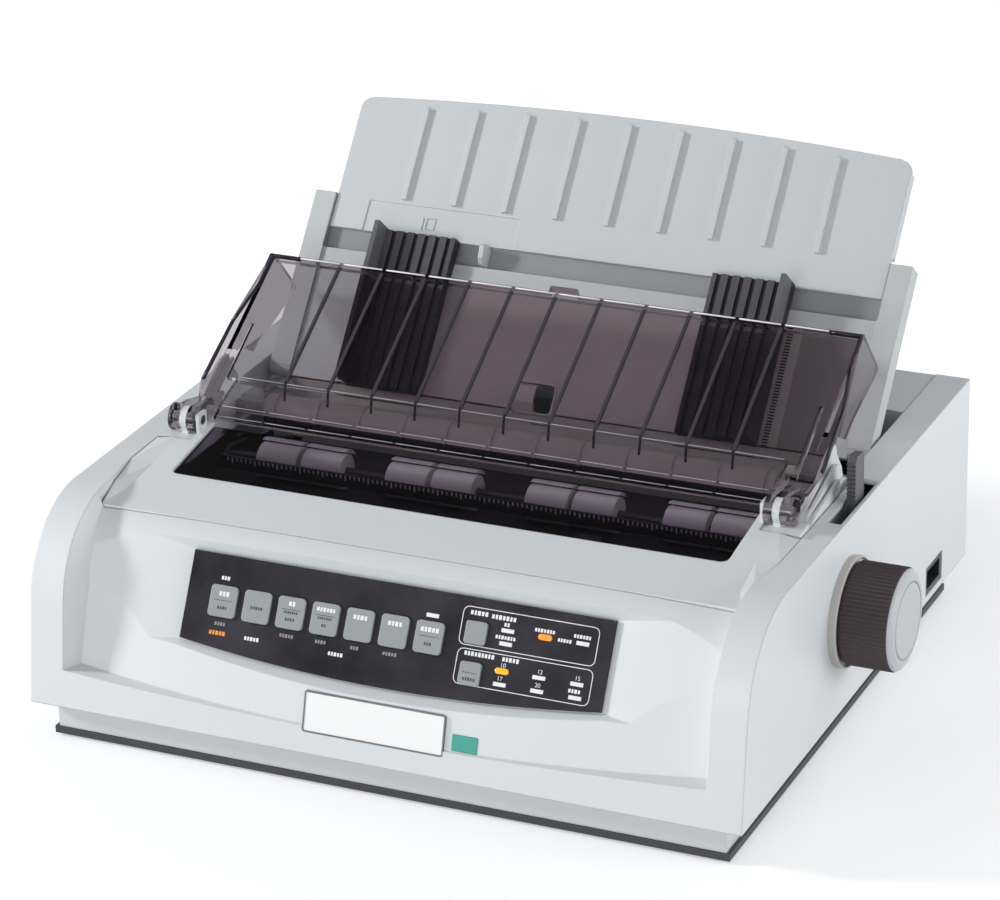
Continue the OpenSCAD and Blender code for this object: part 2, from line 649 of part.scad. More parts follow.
// Sheet guide: a frame that folds back, a ribbed panel and two sliding paper guides
module sheet_guide_frame() color(warm_grey) {
    on_guide() {
        difference() {
            slab([-guide_half - 1, 0, -6], [guide_half + 1, slot_low, -1.8]);
            // Window of the paper sensor
            slab([flag_x[0], -1, -7], [flag_x[1], flag_h, 0]);
        }
        slab([-guide_half - 1, slot_low - 12, -1.8 - guide_t - 3],
            [guide_half + 1, slot_high + 15, -1.8 - guide_t - seat]);
        both_sides() slab([guide_half + gap, guide_hinge, -11.5], [guide_half + post_w, post_len, -0.5]);
    }
    both_sides() rod_x(guide_half + 2 * gap, guide_half + post_w - gap, guide_pivot(), 5.2);
    both_sides() rod_x(guide_half + post_w - 1, cheek_in + wall - gap, guide_pivot(), pivot_r);
}
module panel_plan() intersection() {
    translate([-guide_half, slot_high]) square([guide_w, guide_len]);
    union() {
        translate([-guide_half, slot_high]) square([guide_w, guide_top - slot_high - 6]);
        translate([-guide_half + 6, slot_high]) square([guide_w - 12, guide_len]);
        both_sides() translate([guide_half - 6, guide_top - 6]) circle(6);
    }
    translate([0, guide_top + 5.5 - guide_arch_r]) circle(guide_arch_r, $fn = 400);
}
module sheet_guide_panel() color(warm_grey) on_guide() difference() {
    union() {
        translate([0, 0, -1.8 - guide_t]) linear_extrude(guide_t) panel_plan();
        for (i = [0:guide_ribs - 1]) translate([(i - (guide_ribs - 1) / 2) * guide_rib_pitch, 0, 0])
            slab([-1.3, post_len + 0.5, -1.9],
                [1.3, guide_top - 4 + 5 * (1 - pow((i - (guide_ribs - 1) / 2) / guide_ribs * 2, 2)), 0.2]);
        both_sides() slab([guide_half - wall, post_len + 4, -9], [guide_half, guide_top - 6, -2]);
    }
    slab([-135, slot_high - 1, -2.3], [-48, slot_high + 17, 0]);
}
// A grooved block with a fence on its left side, seen from the operator's place
module paper_guide() color(near_black) on_guide() {
    difference() {
        slab([0, guide_low, -1.5], [fence_w, slot_high, 5]);
        for (i = [0:5]) slab([4 + i * fence_w / 6.4, guide_low - 1, 3.5], [6.2 + i * fence_w / 6.4, slot_high + 1, 6]);
    }
    slab([-2.5, guide_low, -1.5], [0.1, slot_high + 1, 16]);
    slab([2, slot_low + gap, -1.8 - guide_t + gap], [fence_w - 2, slot_high - gap, -1.4]);
}
module left_paper_guide() translate([-118, 0, 0]) paper_guide();
module right_paper_guide() translate([105.5, 0, 0]) mirror([1, 0, 0]) paper_guide();

module paper_chute() color(brown_grey) {
    along_x(-platen_len / 2, platen_len / 2) {
        intersection() {
            translate(platen_c) difference() { circle(platen_r + 3.5); circle(platen_r + 1.5); }
            union() {
                translate(platen_c + [-platen_r - 5, -platen_r - 5]) square([2 * platen_r + 10, platen_r]);
                translate(platen_c + [0, -6]) square([platen_r + 5, 9]);
            }
        }
        polygon([platen_c + [platen_r + 1.6, 2.5], platen_c + [platen_r + 3.4, 1.5],
            [58, 104.5], [57, 106.5]]);
    }
    along_x(gap - frame_x, frame_x - gap) translate([50, 101]) square([8, 3]);
    // Lip that carries the sheets on to the guide
    on_guide() slab([4 - guide_half, chute_low, -3.9], [guide_half - 4, -0.8, -2.1]);
    rod_x(gap - frame_x, frame_x - gap, roll_c, roll_end_r);
    rod_x(-roll_half, roll_half, roll_c, roll_r);
    for (i = [-5.5:5.5]) rod_x(i * hood_rib_pitch - 0.8, i * hood_rib_pitch + 0.8, roll_c, roll_r + 0.6);
}

// Platen, knob and gear train
module platen() color(rubber) difference() {
    rod_x(-platen_len / 2, platen_len / 2, platen_c, platen_r);
    rod_x(-platen_len, platen_len, platen_c, journal_r + 2 + 0.02);
}
module platen_shaft() color(steel) {
    rod_x(-platen_len / 2 - 2, platen_len / 2 + 2, platen_c, journal_r + 2);
    rod_x(gear_x0 - 0.5, half_w + knob_len, platen_c, journal_r);
}
module platen_knob() color(brown_grey) difference() {
    union() {
        rod_x(half_w + 3.2, half_w + 3.2 + knob_len, platen_c, knob_r);
        for (i = [0:59]) translate([0, platen_y, platen_z]) rotate([i * 6, 0, 0])
            slab([half_w + 4.5, knob_r - 1, -0.5], [half_w + 1 + knob_len, knob_r + 0.6, 0.5]);
    }
    rod_x(half_w, half_w + knob_len, platen_c, journal_r + 0.02);
    rod_x(half_w + 2.2 + knob_len, half_w + 5 + knob_len, platen_c, knob_r - 6);
}
// A spur gear with straight-sided teeth and a bore, turned so that a tooth points along turn
module gear(c, n, turn, bore, w) {
    r = pitch_r(n);
    pitch = 360 / n;
    pts = [for (i = [0:n - 1], k = [[-0.27, -1.15], [-0.13, 0.8], [0.13, 0.8], [0.27, -1.15]])
        (r + k[1] * gear_m) * [cos(turn + (i + k[0]) * pitch), sin(turn + (i + k[0]) * pitch)]];
    along_x(gear_x0, gear_x0 + w) translate(c) difference() { polygon(pts); circle(bore); }
}
function link_angle(a, b) = atan2(b[1] - a[1], b[0] - a[0]);
// The turn of a driven gear that puts a gap where the driver's tooth is
function mesh_turn(driver_turn, n1, n2, angle) = angle + 180 + 180 / n2 + (angle - driver_turn) * n1 / n2;
platen_turn = train_a_angle;
idler_turn = mesh_turn(platen_turn, platen_teeth, idler_teeth, idler_angle);
pinion_turn = mesh_turn(idler_turn, idler_teeth, pinion_teeth, pinion_angle);
train_a_turn = mesh_turn(platen_turn, platen_teeth, train_teeth, train_a_angle);
train_b_turn = mesh_turn(train_a_turn, train_teeth, train_teeth, train_b_angle);
tractor_turn = mesh_turn(train_b_turn, train_teeth, tractor_teeth, tractor_angle);
module platen_gear() color("white") gear(platen_c, platen_teeth, platen_turn, journal_r + 0.02, gear_w);
module feed_idler() color("white") gear(idler_c, idler_teeth, idler_turn, stud_r + run_fit, gear_w);
module feed_pinion() color(brass) {
    gear(pinion_c, pinion_teeth, pinion_turn, 0.01, gear_w);
    rod_x(gear_x0 + gear_w, gap - frame_x + frame_t, pinion_c, 1.5);
}
module tractor_idler_a() color("white") gear(train_a_c, train_teeth, train_a_turn, stud_r + run_fit, gear_w);
module tractor_idler_b() color("white") gear(train_b_c, train_teeth, train_b_turn, stud_r + run_fit, gear_w);
module feed_motor() color(mid_grey) difference() {
    union() {
        rod_x(-frame_x, -frame_x + 22, pinion_c, 20);
        along_x(-frame_x, -frame_x + 1.5) translate(pinion_c) square([54, 9], center = true);
    }
    rod_x(-frame_x - 1, -frame_x + 4, pinion_c, 2);
}

// Tractors that push continuous paper in from the rear
module tractor_shaft() color(steel) {
    rod_x(gear_x0 + gear_w, frame_x + frame_t + 1, tractor_c, tractor_shaft_r);
    gear(tractor_c, tractor_teeth, tractor_turn, 0.01, gear_w);
}
module tractor(x) color(mid_grey) difference() {
    union() {
        along_x(x - 8, x + 8) polygon([tractor_rod_c + [-7, -6], tractor_rod_c + [-7, 9],
            tractor_c + [-12, 10], tractor_c + [6, 10], tractor_c + [10, 5], tractor_c + [10, -6],
            tractor_c + [4, -10]]);
        for (i = [-2:2]) translate([x, tractor_c[0] - 8 + i * 2.6, tractor_c[1] + 9])
            cylinder(r1 = 1, r2 = 0.6, h = 2.6);
        along_x(x + 3, x + 7) translate(tractor_c + [-14, 11]) square([20, 1.6]);
        along_x(x + 3, x + 7) translate(tractor_c + [-14, 7]) square([3, 5]);
    }
    rod_x(x - 9, x + 9, tractor_c, tractor_shaft_r + 0.08);
    rod_x(x - 9, x + 9, tractor_rod_c, tractor_rod_r + 0.08);
}
module left_tractor() tractor(-108);
module right_tractor() tractor(108);

// Steel structure
module side_frame_outline() difference() {
    polygon([[-112, bed_z], [-112, 44], [-96, 60], [-60, 98], [-48, 104], [60, 104],
        [64, 98], [108, 92], [tractor_c[0] + 12, 88], [tractor_c[0] + 12, 66], [70, 40], [60, bed_z]]);
    translate(platen_c) circle(journal_r + run_fit);
    translate(tractor_c) circle(tractor_shaft_r + run_fit);
    translate(bail_pivot) circle(bail_rod_r + run_fit);
    translate(pinion_c) circle(4);
}
module side_frames() color(steel) {
    both_sides() along_x(frame_x, frame_x + frame_t) side_frame_outline();
    // Studs that carry the idler gears
    for (c = [idler_c, train_a_c, train_b_c]) {
        rod_x(gear_x0 - 0.4, -frame_x - 1, c, stud_r);
        rod_x(gear_x0 + gear_w + gap, -frame_x - 1, c, stud_r + 1.5);
    }
}
module chassis_bed() color(steel) {
    difference() {
        slab([-frame_x, belt_y - 20, bed_z], [frame_x, bed_rear, bed_z + bed_t]);
        translate([belt_half, belt_y, bed_z - 1]) cylinder(r = 4, h = bed_t + 2);
    }
    // Post of the idler pulley
    translate([-belt_half, belt_y, bed_z + 1]) cylinder(r = motor_post_r, h = belt_z + belt_h - bed_z);
    translate([-belt_half, belt_y, bed_z + 1]) cylinder(r = 5, h = belt_z - 1.7 - bed_z - 1);
}
module guide_rods() color(steel) {
    rod_x(-frame_x, frame_x, rod_c, rod_r);
    rod_x(-frame_x, frame_x, tractor_rod_c, tractor_rod_r);
}

// Carriage, print head and ribbon
module carriage() color(near_black) translate([carriage_x, 0, 0]) difference() {
    union() {
        slab([-24, rod_c[0] - 20, 29], [24, rod_c[0] + 16, 56]);
        slab([-10, belt_y + 3, belt_z - 4], [10, rod_c[0] - 19, belt_z + belt_h + 4]);
        slab([-20, rod_c[0] - 18, 55], [-17, rod_c[0] + 14, 66]);
        slab([17, rod_c[0] - 18, 55], [20, rod_c[0] + 14, 66]);
    }
    rod_x(-25, 25, rod_c, rod_r + run_fit);
    slab([-11, belt_y + 2, belt_z - gap], [11, belt_y + pulley_r + belt_t + 2 * gap, belt_z + belt_h + gap]);
}
module print_head() color("#4a4b50") translate([carriage_x, 0, 0]) {
    slab([-15, rod_c[0] - 8, 56], [15, rod_c[0] + 14, 80]);
    for (i = [0:5]) slab([-16, rod_c[0] - 8 + i * 4, 79], [16, rod_c[0] - 6.4 + i * 4, 85.5]);
    along_x(-6, 6) polygon([[rod_c[0] + 13, 60], [rod_c[0] + 13, 80],
        [platen_y - platen_r - 1.5, 74.5], [platen_y - platen_r - 1.5, 67.5]]);
}
module ribbon_cartridge() color(near_black) translate([carriage_x, 0, 0]) difference() {
    union() {
        slab([-48, rod_c[0] - 30, 88], [48, rod_c[0] + 8, 100]);
        both_sides() slab([33, rod_c[0] + 7, 88], [46, platen_y - platen_r + 2, 97]);
        both_sides() slab([21.4, rod_c[0] - 12, 56], [24, rod_c[0] + 6, 89]);
    }
    slab([-21.4, rod_c[0] - 14, 87], [21.4, rod_c[0] + 9, 101]);
    translate([-34, rod_c[0] - 14, 87]) cylinder(r = 3 + run_fit, h = 14);
}
module ribbon_knob() color(mid_grey) translate([carriage_x - 34, rod_c[0] - 14, 0]) {
    translate([0, 0, 88.5]) cylinder(r = 3, h = 12);
    translate([0, 0, 100.2]) cylinder(r = 6, h = 3.4, $fn = 12);
}
module belt_loop(r) {
    translate([-belt_half, -r]) square([2 * belt_half, 2 * r]);
    for (x = [-1, 1]) translate([x * belt_half, 0]) circle(r);
}
module carriage_belt() color(rubber) translate([0, belt_y, belt_z]) linear_extrude(belt_h) difference() {
    belt_loop(pulley_r + belt_t);
    belt_loop(pulley_r + 0.1);
}
module pulley(x, bore) translate([x, belt_y, 0]) difference() {
    union() {
        translate([0, 0, belt_z]) cylinder(r = pulley_r, h = belt_h);
        translate([0, 0, belt_z - 1.4]) cylinder(r = pulley_r + belt_t + 0.5, h = 1.2);
        translate([0, 0, belt_z - 0.4]) cylinder(r = pulley_r, h = 0.6);
    }
    translate([0, 0, belt_z - 2]) cylinder(r = bore, h = belt_h + 3);
}
module drive_pulley() color("white") pulley(belt_half, motor_post_r + run_fit);
module idler_pulley() color("white") pulley(-belt_half, motor_post_r + run_fit);
module carriage_motor() color(mid_grey) {
    translate([belt_half, belt_y, bed_z + bed_t]) cylinder(r = motor_r, h = 14);
    translate([belt_half, belt_y, bed_z + bed_t + 13])
        cylinder(r = motor_post_r, h = belt_z + belt_h - bed_z - bed_t - 12);
}
// Flat cable from the carriage down to the bed and along it
module head_cable() color("#e8e4da") {
    slab([-40, cable_y, bed_z + bed_t], [carriage_x - 9, cable_y + 4, bed_z + bed_t + 0.4]);
    slab([carriage_x - 9.4, cable_y, bed_z + bed_t], [carriage_x - 9, cable_y + 4, 30]);
    slab([carriage_x - 9.4, cable_y, 29.6], [carriage_x + 6, rod_c[0] - 20, 30]);
}

module paper_bail() color(steel) {
    rod_x(-150, 150, bail_c, bail_rod_r);
    both_sides() along_x(146.5, 149) difference() {
        union() {
            translate(bail_c) circle(5);
            translate(bail_pivot) circle(5.5);
            polygon([bail_c + [0, 5], bail_pivot + [0, 5], bail_pivot - [0, 5], bail_c - [0, 5]]);
        }
        translate(bail_c) circle(bail_rod_r);
    }
    both_sides() rod_x(146.5, frame_x + frame_t, bail_pivot, bail_rod_r);
    // Scale strip in front of the rollers
    slab([-147, bail_c[0] - 13.4, bail_c[1] - 2], [147, bail_c[0] - 12.2, bail_c[1] + 5]);
    both_sides() slab([145.5, bail_c[0] - 13.4, bail_c[1] - 2], [148.9, bail_c[0], bail_c[1] + 2]);
}
module bail_rollers() color("#d7d5d2") difference() {
    for (x = bail_starts, k = [0, 1])
        rod_x(x + k * roller_step, x + k * roller_step + roller_w, bail_c, bail_r);
    rod_x(-150, 150, bail_c, bail_rod_r + run_fit);
}
module paper_lever() color(near_black) {
    along_x(lever_x, lever_x + lever_w) {
        translate([lever_y, lever_z]) circle(8);
        polygon([[lever_y - 6, lever_z], [lever_y - 6, 139], [lever_y - 4, 142], [lever_y + 5, 141],
            [lever_y + 6, 138], [lever_y + 6, lever_z]]);
    }
    for (i = [0:8])
        slab([lever_x, lever_y - 7, 120.5 + i * 2.2], [lever_x + lever_w, lever_y - 5.5, 121.6 + i * 2.2]);
    rod_x(cheek_in + gap, lever_x + 1, [lever_y, lever_z], pivot_r);
}

// Electronics at the rear
module main_board() color(board_green) {
    slab([board_low[0], board_low[1], board_z], [board_high[0], board_high[1], board_z + board_t]);
    for (p = [[25, 16, 26, 26], [61, 22, 16, 16], [89, 16, 30, 12], [129, 20, 22, 22], [161, 12, 10, 30]])
        translate([board_low[0] + p[0], board_low[1] + p[1], board_z + board_t]) cube([p[2], p[3], 3]);
}
module power_supply() color(mid_grey) for (b = [[40, 34, 0, 4], [30, 28, 3.9, 44], [20, 32, 12, 36]])
    slab([psu_c[0] - b[0], psu_c[1] - b[1], floor_z + b[2]],
        [psu_c[0] + b[0], psu_c[1] + b[1], floor_z + b[3]]);
// A socket on the main board: a shell with a tongue in its mouth
module socket(x, half, top) {
    difference() {
        slab([x - half, board_high[1] - 4, board_z + board_t], [x + half, rear_y - 0.5, top]);
        slab([x - half + 1.5, rear_y - 6.5, board_z + board_t + 1.5], [x + half - 1.5, rear_y, top - 1.5]);
    }
    slab([x - half + 3.5, board_high[1], board_z + board_t + 4.2], [x + half - 3.5, rear_y - 1.5, top - 4.2]);
}
module rear_connectors() color(near_black) {
    socket(port_x, 28, board_z + 13);
    socket(usb_x, 6, board_z + 12);
    // Housing that carries the power switch
    difference() {
        slab([switch_x - 14, rear_y - 17, switch_z - 12], [switch_x + 14, rear_y - wall, switch_z + 12]);
        slab([switch_x - 11, rear_y - 15.5, switch_z - 10], [switch_x + 11, rear_y, switch_z + 10]);
        rod_x(switch_x - 15, switch_x + 15, switch_c, switch_pin_r + run_fit);
    }
}
module power_inlet() color(near_black) difference() {
    union() {
        slab([half_w - 20, inlet_y - 12, inlet_z - 7], [half_w - 0.5, inlet_y + 12, inlet_z + 7]);
        slab([half_w - wall - 2, inlet_y - 16, inlet_z - 8.8], [half_w - wall, inlet_y + 16, inlet_z + 11]);
    }
    slab([half_w - 16, inlet_y - 10, inlet_z - 5], [half_w, inlet_y + 10, inlet_z + 5]);
}
module power_switch() color(near_black) {
    along_x(switch_x - 10.6, switch_x + 10.6)
        polygon([[rear_y - 9, switch_z - 4], [rear_y + 0.2, switch_z - 7.4],
        [rear_y - 0.6, switch_z], [rear_y + 1.4, switch_z + 7], [rear_y - 9, switch_z + 4]]);
    rod_x(switch_x - 13, switch_x + 13, switch_c, switch_pin_r);
}

rubber_feet();
base_pan();
lower_case();
upper_case();
rear_cover();
operator_panel();
panel_lamps();
control_board();
key_1();
key_2();
key_3();
key_4();
key_5();
key_6();
key_7();
quality_key();
pitch_key();
nameplate();
access_cover();
cover_window();
hood_brackets();
hood_hinge_pins();
smoked_hood();
sheet_guide_frame();
sheet_guide_panel();
left_paper_guide();
right_paper_guide();
paper_chute();
platen();
platen_shaft();
platen_knob();
platen_gear();
feed_idler();
feed_pinion();
feed_motor();
tractor_idler_a();
tractor_idler_b();
tractor_shaft();
left_tractor();
right_tractor();
side_frames();
chassis_bed();
guide_rods();
carriage();
print_head();
ribbon_cartridge();
ribbon_knob();
carriage_belt();
drive_pulley();
idler_pulley();
carriage_motor();
head_cable();
paper_bail();
bail_rollers();
paper_lever();
main_board();
power_supply();
power_inlet();
power_switch();
rear_connectors();
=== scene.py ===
# %% [markdown]
# # A dot matrix printer, dressed for its portrait
#
# The printer comes in as a finished set of solid parts, each one already in its place in metres.
# This lesson gives those parts their plastics, metals and clear sheets, adds the thin details that solids
# don't carry, such as printed lines and small screws, and sets up the camera and the studio for the
# photograph.
# Nothing here moves or reshapes a part. Each new piece is hung on the part that carries it.

# %% Load the parts
import bmesh
import bpy
import math
from mathutils import Matrix, Vector


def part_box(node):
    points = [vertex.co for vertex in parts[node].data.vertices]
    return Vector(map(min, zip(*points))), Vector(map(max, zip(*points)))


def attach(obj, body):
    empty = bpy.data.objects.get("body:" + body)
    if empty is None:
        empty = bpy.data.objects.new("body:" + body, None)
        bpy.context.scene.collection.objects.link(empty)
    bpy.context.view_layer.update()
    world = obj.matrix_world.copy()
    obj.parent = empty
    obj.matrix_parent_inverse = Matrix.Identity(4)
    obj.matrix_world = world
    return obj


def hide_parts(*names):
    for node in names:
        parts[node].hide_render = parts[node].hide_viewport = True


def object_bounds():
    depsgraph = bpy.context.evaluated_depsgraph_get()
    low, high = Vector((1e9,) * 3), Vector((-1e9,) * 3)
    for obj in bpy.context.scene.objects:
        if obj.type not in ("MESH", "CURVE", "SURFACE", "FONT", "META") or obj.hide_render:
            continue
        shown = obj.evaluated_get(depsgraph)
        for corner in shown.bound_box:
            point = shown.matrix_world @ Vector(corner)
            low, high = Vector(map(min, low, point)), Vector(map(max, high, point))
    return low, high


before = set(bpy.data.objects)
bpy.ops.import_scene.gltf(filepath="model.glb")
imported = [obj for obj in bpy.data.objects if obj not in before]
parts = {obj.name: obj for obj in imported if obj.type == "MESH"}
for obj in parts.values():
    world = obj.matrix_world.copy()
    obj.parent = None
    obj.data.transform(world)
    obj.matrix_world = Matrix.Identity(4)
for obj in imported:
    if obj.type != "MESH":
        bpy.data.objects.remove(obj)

cad_low, cad_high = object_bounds()
size = cad_high - cad_low
print(f"{len(parts)} parts, {size.x:.3f} x {size.y:.3f} x {size.z:.3f} m")

# %% [markdown]
# ## The camera
#
# The camera comes first, because everything else is judged through it. A photograph's viewpoint is
# a direction, a distance and a lens. Here the direction is given as two angles seen from the front,
# and the lens is a long one, so the sides of the printer hardly taper. The picture is tilted by a
# little over one degree, which is why the camera's own sideways and upward axes are turned by it.

# %% Place the camera
MM = 0.001
LOOK_AT = Vector((-0.33, 0.74, 81.82)) * MM
DISTANCE = 1971.09 * MM
AZIMUTH = math.radians(24.36)
ELEVATION = math.radians(24.07)
ROLL = math.radians(-1.32)

back = Vector((math.sin(AZIMUTH) * math.cos(ELEVATION), -math.cos(AZIMUTH) * math.cos(ELEVATION),
               math.sin(ELEVATION)))
right = Vector((math.cos(AZIMUTH), math.sin(AZIMUTH), 0))
up = back.cross(right)
tilted_right = right * math.cos(ROLL) + up * math.sin(ROLL)
tilted_up = up * math.cos(ROLL) - right * math.sin(ROLL)

lens = bpy.data.cameras.new("camera")
lens.lens = 141.6
lens.sensor_width = 36
lens.shift_x = -0.0112
lens.shift_y = 0.0632
camera = bpy.data.objects.new("camera", lens)
camera.matrix_world = Matrix((tilted_right, tilted_up, back)).transposed().to_4x4()
camera.location = LOOK_AT + back * DISTANCE
bpy.context.scene.collection.objects.link(camera)
bpy.context.scene.camera = camera
print("camera stands", tuple(round(v, 3) for v in camera.location))

# %% [markdown]
# ## Shared finishes
#
# Moulded plastic is never one flat colour. The mould is etched, so the surface has a fine grain that
# breaks up reflections, and the tone drifts slightly over a wide part. Both effects are needed in
# almost every plastic here. Copying the nodes into each material would work, but a node group keeps
# one recipe, and each material only turns its dials.

# %% Start a node group
def start_group(name, inputs, outputs):
    """A new group with its named sockets, and the two nodes that stand for its inside ends."""
    group = bpy.data.node_groups.new(name, "ShaderNodeTree")
    for label, kind, default in inputs:
        socket = group.interface.new_socket(label, in_out="INPUT", socket_type=kind)
        socket.default_value = default
    for label, kind in outputs:
        group.interface.new_socket(label, in_out="OUTPUT", socket_type=kind)
    return group, group.nodes.new("NodeGroupInput"), group.nodes.new("NodeGroupOutput")


def use_group(nodes, group, **dials):
    """A node that holds a shared group, with its dials turned."""
    node = nodes.new("ShaderNodeGroup")
    node.node_tree = group
    for dial, value in dials.items():
        node.inputs[dial].default_value = value
    return node


def noise_in(group, source, detail):
    """A noise texture that reads the object's own coordinates, at the scale of the group's dial."""
    place = group.nodes.new("ShaderNodeTexCoord")
    noise = group.nodes.new("ShaderNodeTexNoise")
    noise.inputs["Detail"].default_value = detail
    group.links.new(place.outputs["Object"], noise.inputs["Vector"])
    group.links.new(source.outputs["Scale"], noise.inputs["Scale"])
    return noise


def fixed_math(nodes, operation, slot=0, value=0.5):
    """A math node with one of its two numbers fixed."""
    node = nodes.new("ShaderNodeMath")
    node.operation = operation
    node.inputs[slot].default_value = value
    return node


# %% [markdown]
# The first group is the etched grain. A fine noise gives a height for the bump, and the same noise,
# squeezed into a narrow range around the wanted roughness, makes the gloss sparkle unevenly.

# %% Etched grain
grain, grain_in, grain_out = start_group(
    "etched grain",
    [("Scale", "NodeSocketFloat", 2500), ("Roughness", "NodeSocketFloat", 0.45),
     ("Spread", "NodeSocketFloat", 0.1)],
    [("Height", "NodeSocketFloat"), ("Roughness", "NodeSocketFloat")])
grain_noise = noise_in(grain, grain_in, 2)
centred = fixed_math(grain.nodes, "SUBTRACT", 1)
spread = grain.nodes.new("ShaderNodeMath")
spread.operation = "MULTIPLY_ADD"
grain.links.new(grain_noise.outputs["Fac"], centred.inputs[0])
grain.links.new(centred.outputs[0], spread.inputs[0])
grain.links.new(grain_in.outputs["Spread"], spread.inputs[1])
grain.links.new(grain_in.outputs["Roughness"], spread.inputs[2])
grain.links.new(grain_noise.outputs["Fac"], grain_out.inputs["Height"])
grain.links.new(spread.outputs[0], grain_out.inputs["Roughness"])
print("made", grain.name, "with", len(grain.nodes), "nodes")

# %% [markdown]
# The second group drifts between two colours with a slow noise. On ivory plastic the two colours
# almost match. On the printed panel they are further apart, which gives its smoky clouds.

# %% Drifting tone
MIX_A, MIX_B, MIX_RESULT = 6, 7, 2  # the colour sockets of a Mix node, which has a set for each kind of value
drift, drift_in, drift_out = start_group(
    "drifting tone",
    [("Scale", "NodeSocketFloat", 9), ("Low", "NodeSocketColor", (0.5, 0.5, 0.5, 1)),
     ("High", "NodeSocketColor", (0.6, 0.6, 0.6, 1)), ("Contrast", "NodeSocketFloat", 1)],
    [("Color", "NodeSocketColor")])
drift_noise = noise_in(drift, drift_in, 4)
sharpen = drift.nodes.new("ShaderNodeMapRange")
half = fixed_math(drift.nodes, "DIVIDE")
low_edge = fixed_math(drift.nodes, "SUBTRACT")
high_edge = fixed_math(drift.nodes, "ADD")
tones = drift.nodes.new("ShaderNodeMix")
tones.data_type = "RGBA"
drift.links.new(drift_in.outputs["Contrast"], half.inputs[1])
drift.links.new(half.outputs[0], low_edge.inputs[1])
drift.links.new(half.outputs[0], high_edge.inputs[1])
drift.links.new(drift_noise.outputs["Fac"], sharpen.inputs["Value"])
drift.links.new(low_edge.outputs[0], sharpen.inputs["From Min"])
drift.links.new(high_edge.outputs[0], sharpen.inputs["From Max"])
drift.links.new(sharpen.outputs["Result"], tones.inputs["Factor"])
drift.links.new(drift_in.outputs["Low"], tones.inputs[MIX_A])
drift.links.new(drift_in.outputs["High"], tones.inputs[MIX_B])
drift.links.new(tones.outputs[MIX_RESULT], drift_out.inputs["Color"])
print("made", drift.name, "with", len(drift.nodes), "nodes")

# %% [markdown]
# The third group tells the two sides of a straight line apart. Some parts carry two colours that
# meet along a line, such as a white plate with a green label beside it. The group measures how far
# a point lies along a direction and puts out 1 beyond the given distance.

# %% Beyond a line
beyond, beyond_in, beyond_out = start_group(
    "beyond a line",
    [("Direction", "NodeSocketVector", (1, 0, 0)), ("Distance", "NodeSocketFloat", 0)],
    [("Mask", "NodeSocketFloat")])
where = beyond.nodes.new("ShaderNodeTexCoord")
along = beyond.nodes.new("ShaderNodeVectorMath")
along.operation = "DOT_PRODUCT"
past = beyond.nodes.new("ShaderNodeMath")
past.operation = "GREATER_THAN"
beyond.links.new(where.outputs["Object"], along.inputs[0])
beyond.links.new(beyond_in.outputs["Direction"], along.inputs[1])
beyond.links.new(along.outputs["Value"], past.inputs[0])
beyond.links.new(beyond_in.outputs["Distance"], past.inputs[1])
beyond.links.new(past.outputs[0], beyond_out.inputs["Mask"])
print("made", beyond.name, "with", len(beyond.nodes), "nodes")

# %% [markdown]
# ## The plastics
#
# One function makes every opaque plastic from its colour, its gloss and its grain. The edges of a
# moulding are never knife sharp: they have a small radius that catches the light as a bright line.
# Cutting that radius into every edge is possible, but a Bevel node gives the same highlight by
# bending the normal near an edge, and leaves the parts' shapes alone.

# %% A plastic
def plastic(name, colour, roughness=0.45, grain_size=2500, depth=0.04, contrast=1.0, other=None, edge=0.7,
            cloud=9, shine=0.5):
    """An opaque plastic that drifts from one tone to the other. The depth and edge are in mm."""
    material = bpy.data.materials.new(name)
    material.use_nodes = True
    nodes, links = material.node_tree.nodes, material.node_tree.links
    shader = nodes["Principled BSDF"]
    shader.inputs["Specular IOR Level"].default_value = shine
    low = other or [0.94 * v for v in colour]
    tone = use_group(nodes, drift, Scale=cloud, Low=(*low, 1), High=(*colour, 1), Contrast=contrast)
    etched = use_group(nodes, grain, Scale=grain_size, Roughness=roughness, Spread=0.15)
    rounded = nodes.new("ShaderNodeBevel")
    rounded.samples = 6
    rounded.inputs["Radius"].default_value = edge * MM
    bump = nodes.new("ShaderNodeBump")
    bump.inputs["Strength"].default_value = 0.5
    bump.inputs["Distance"].default_value = depth * MM
    links.new(tone.outputs["Color"], shader.inputs["Base Color"])
    links.new(etched.outputs["Roughness"], shader.inputs["Roughness"])
    links.new(rounded.outputs["Normal"], bump.inputs["Normal"])
    links.new(etched.outputs["Height"], bump.inputs["Height"])
    links.new(bump.outputs["Normal"], shader.inputs["Normal"])
    return material


print("every plastic is made from the groups:", grain.name, "and", drift.name)

# %% [markdown]
# A few parts carry two colours that meet along a straight line: the white nameplate and the green
# label beside it are one part, and so are the pale sheet guide and the brown-grey sheet surface on it.
# A second material on some of the faces would need an edge where the colours meet, and the solids
# have none there. A mask of straight lines, worked out for each point, needs no edge at all. Some of
# the lines follow the sheet guide, which leans back, so its own two directions are worked out here.

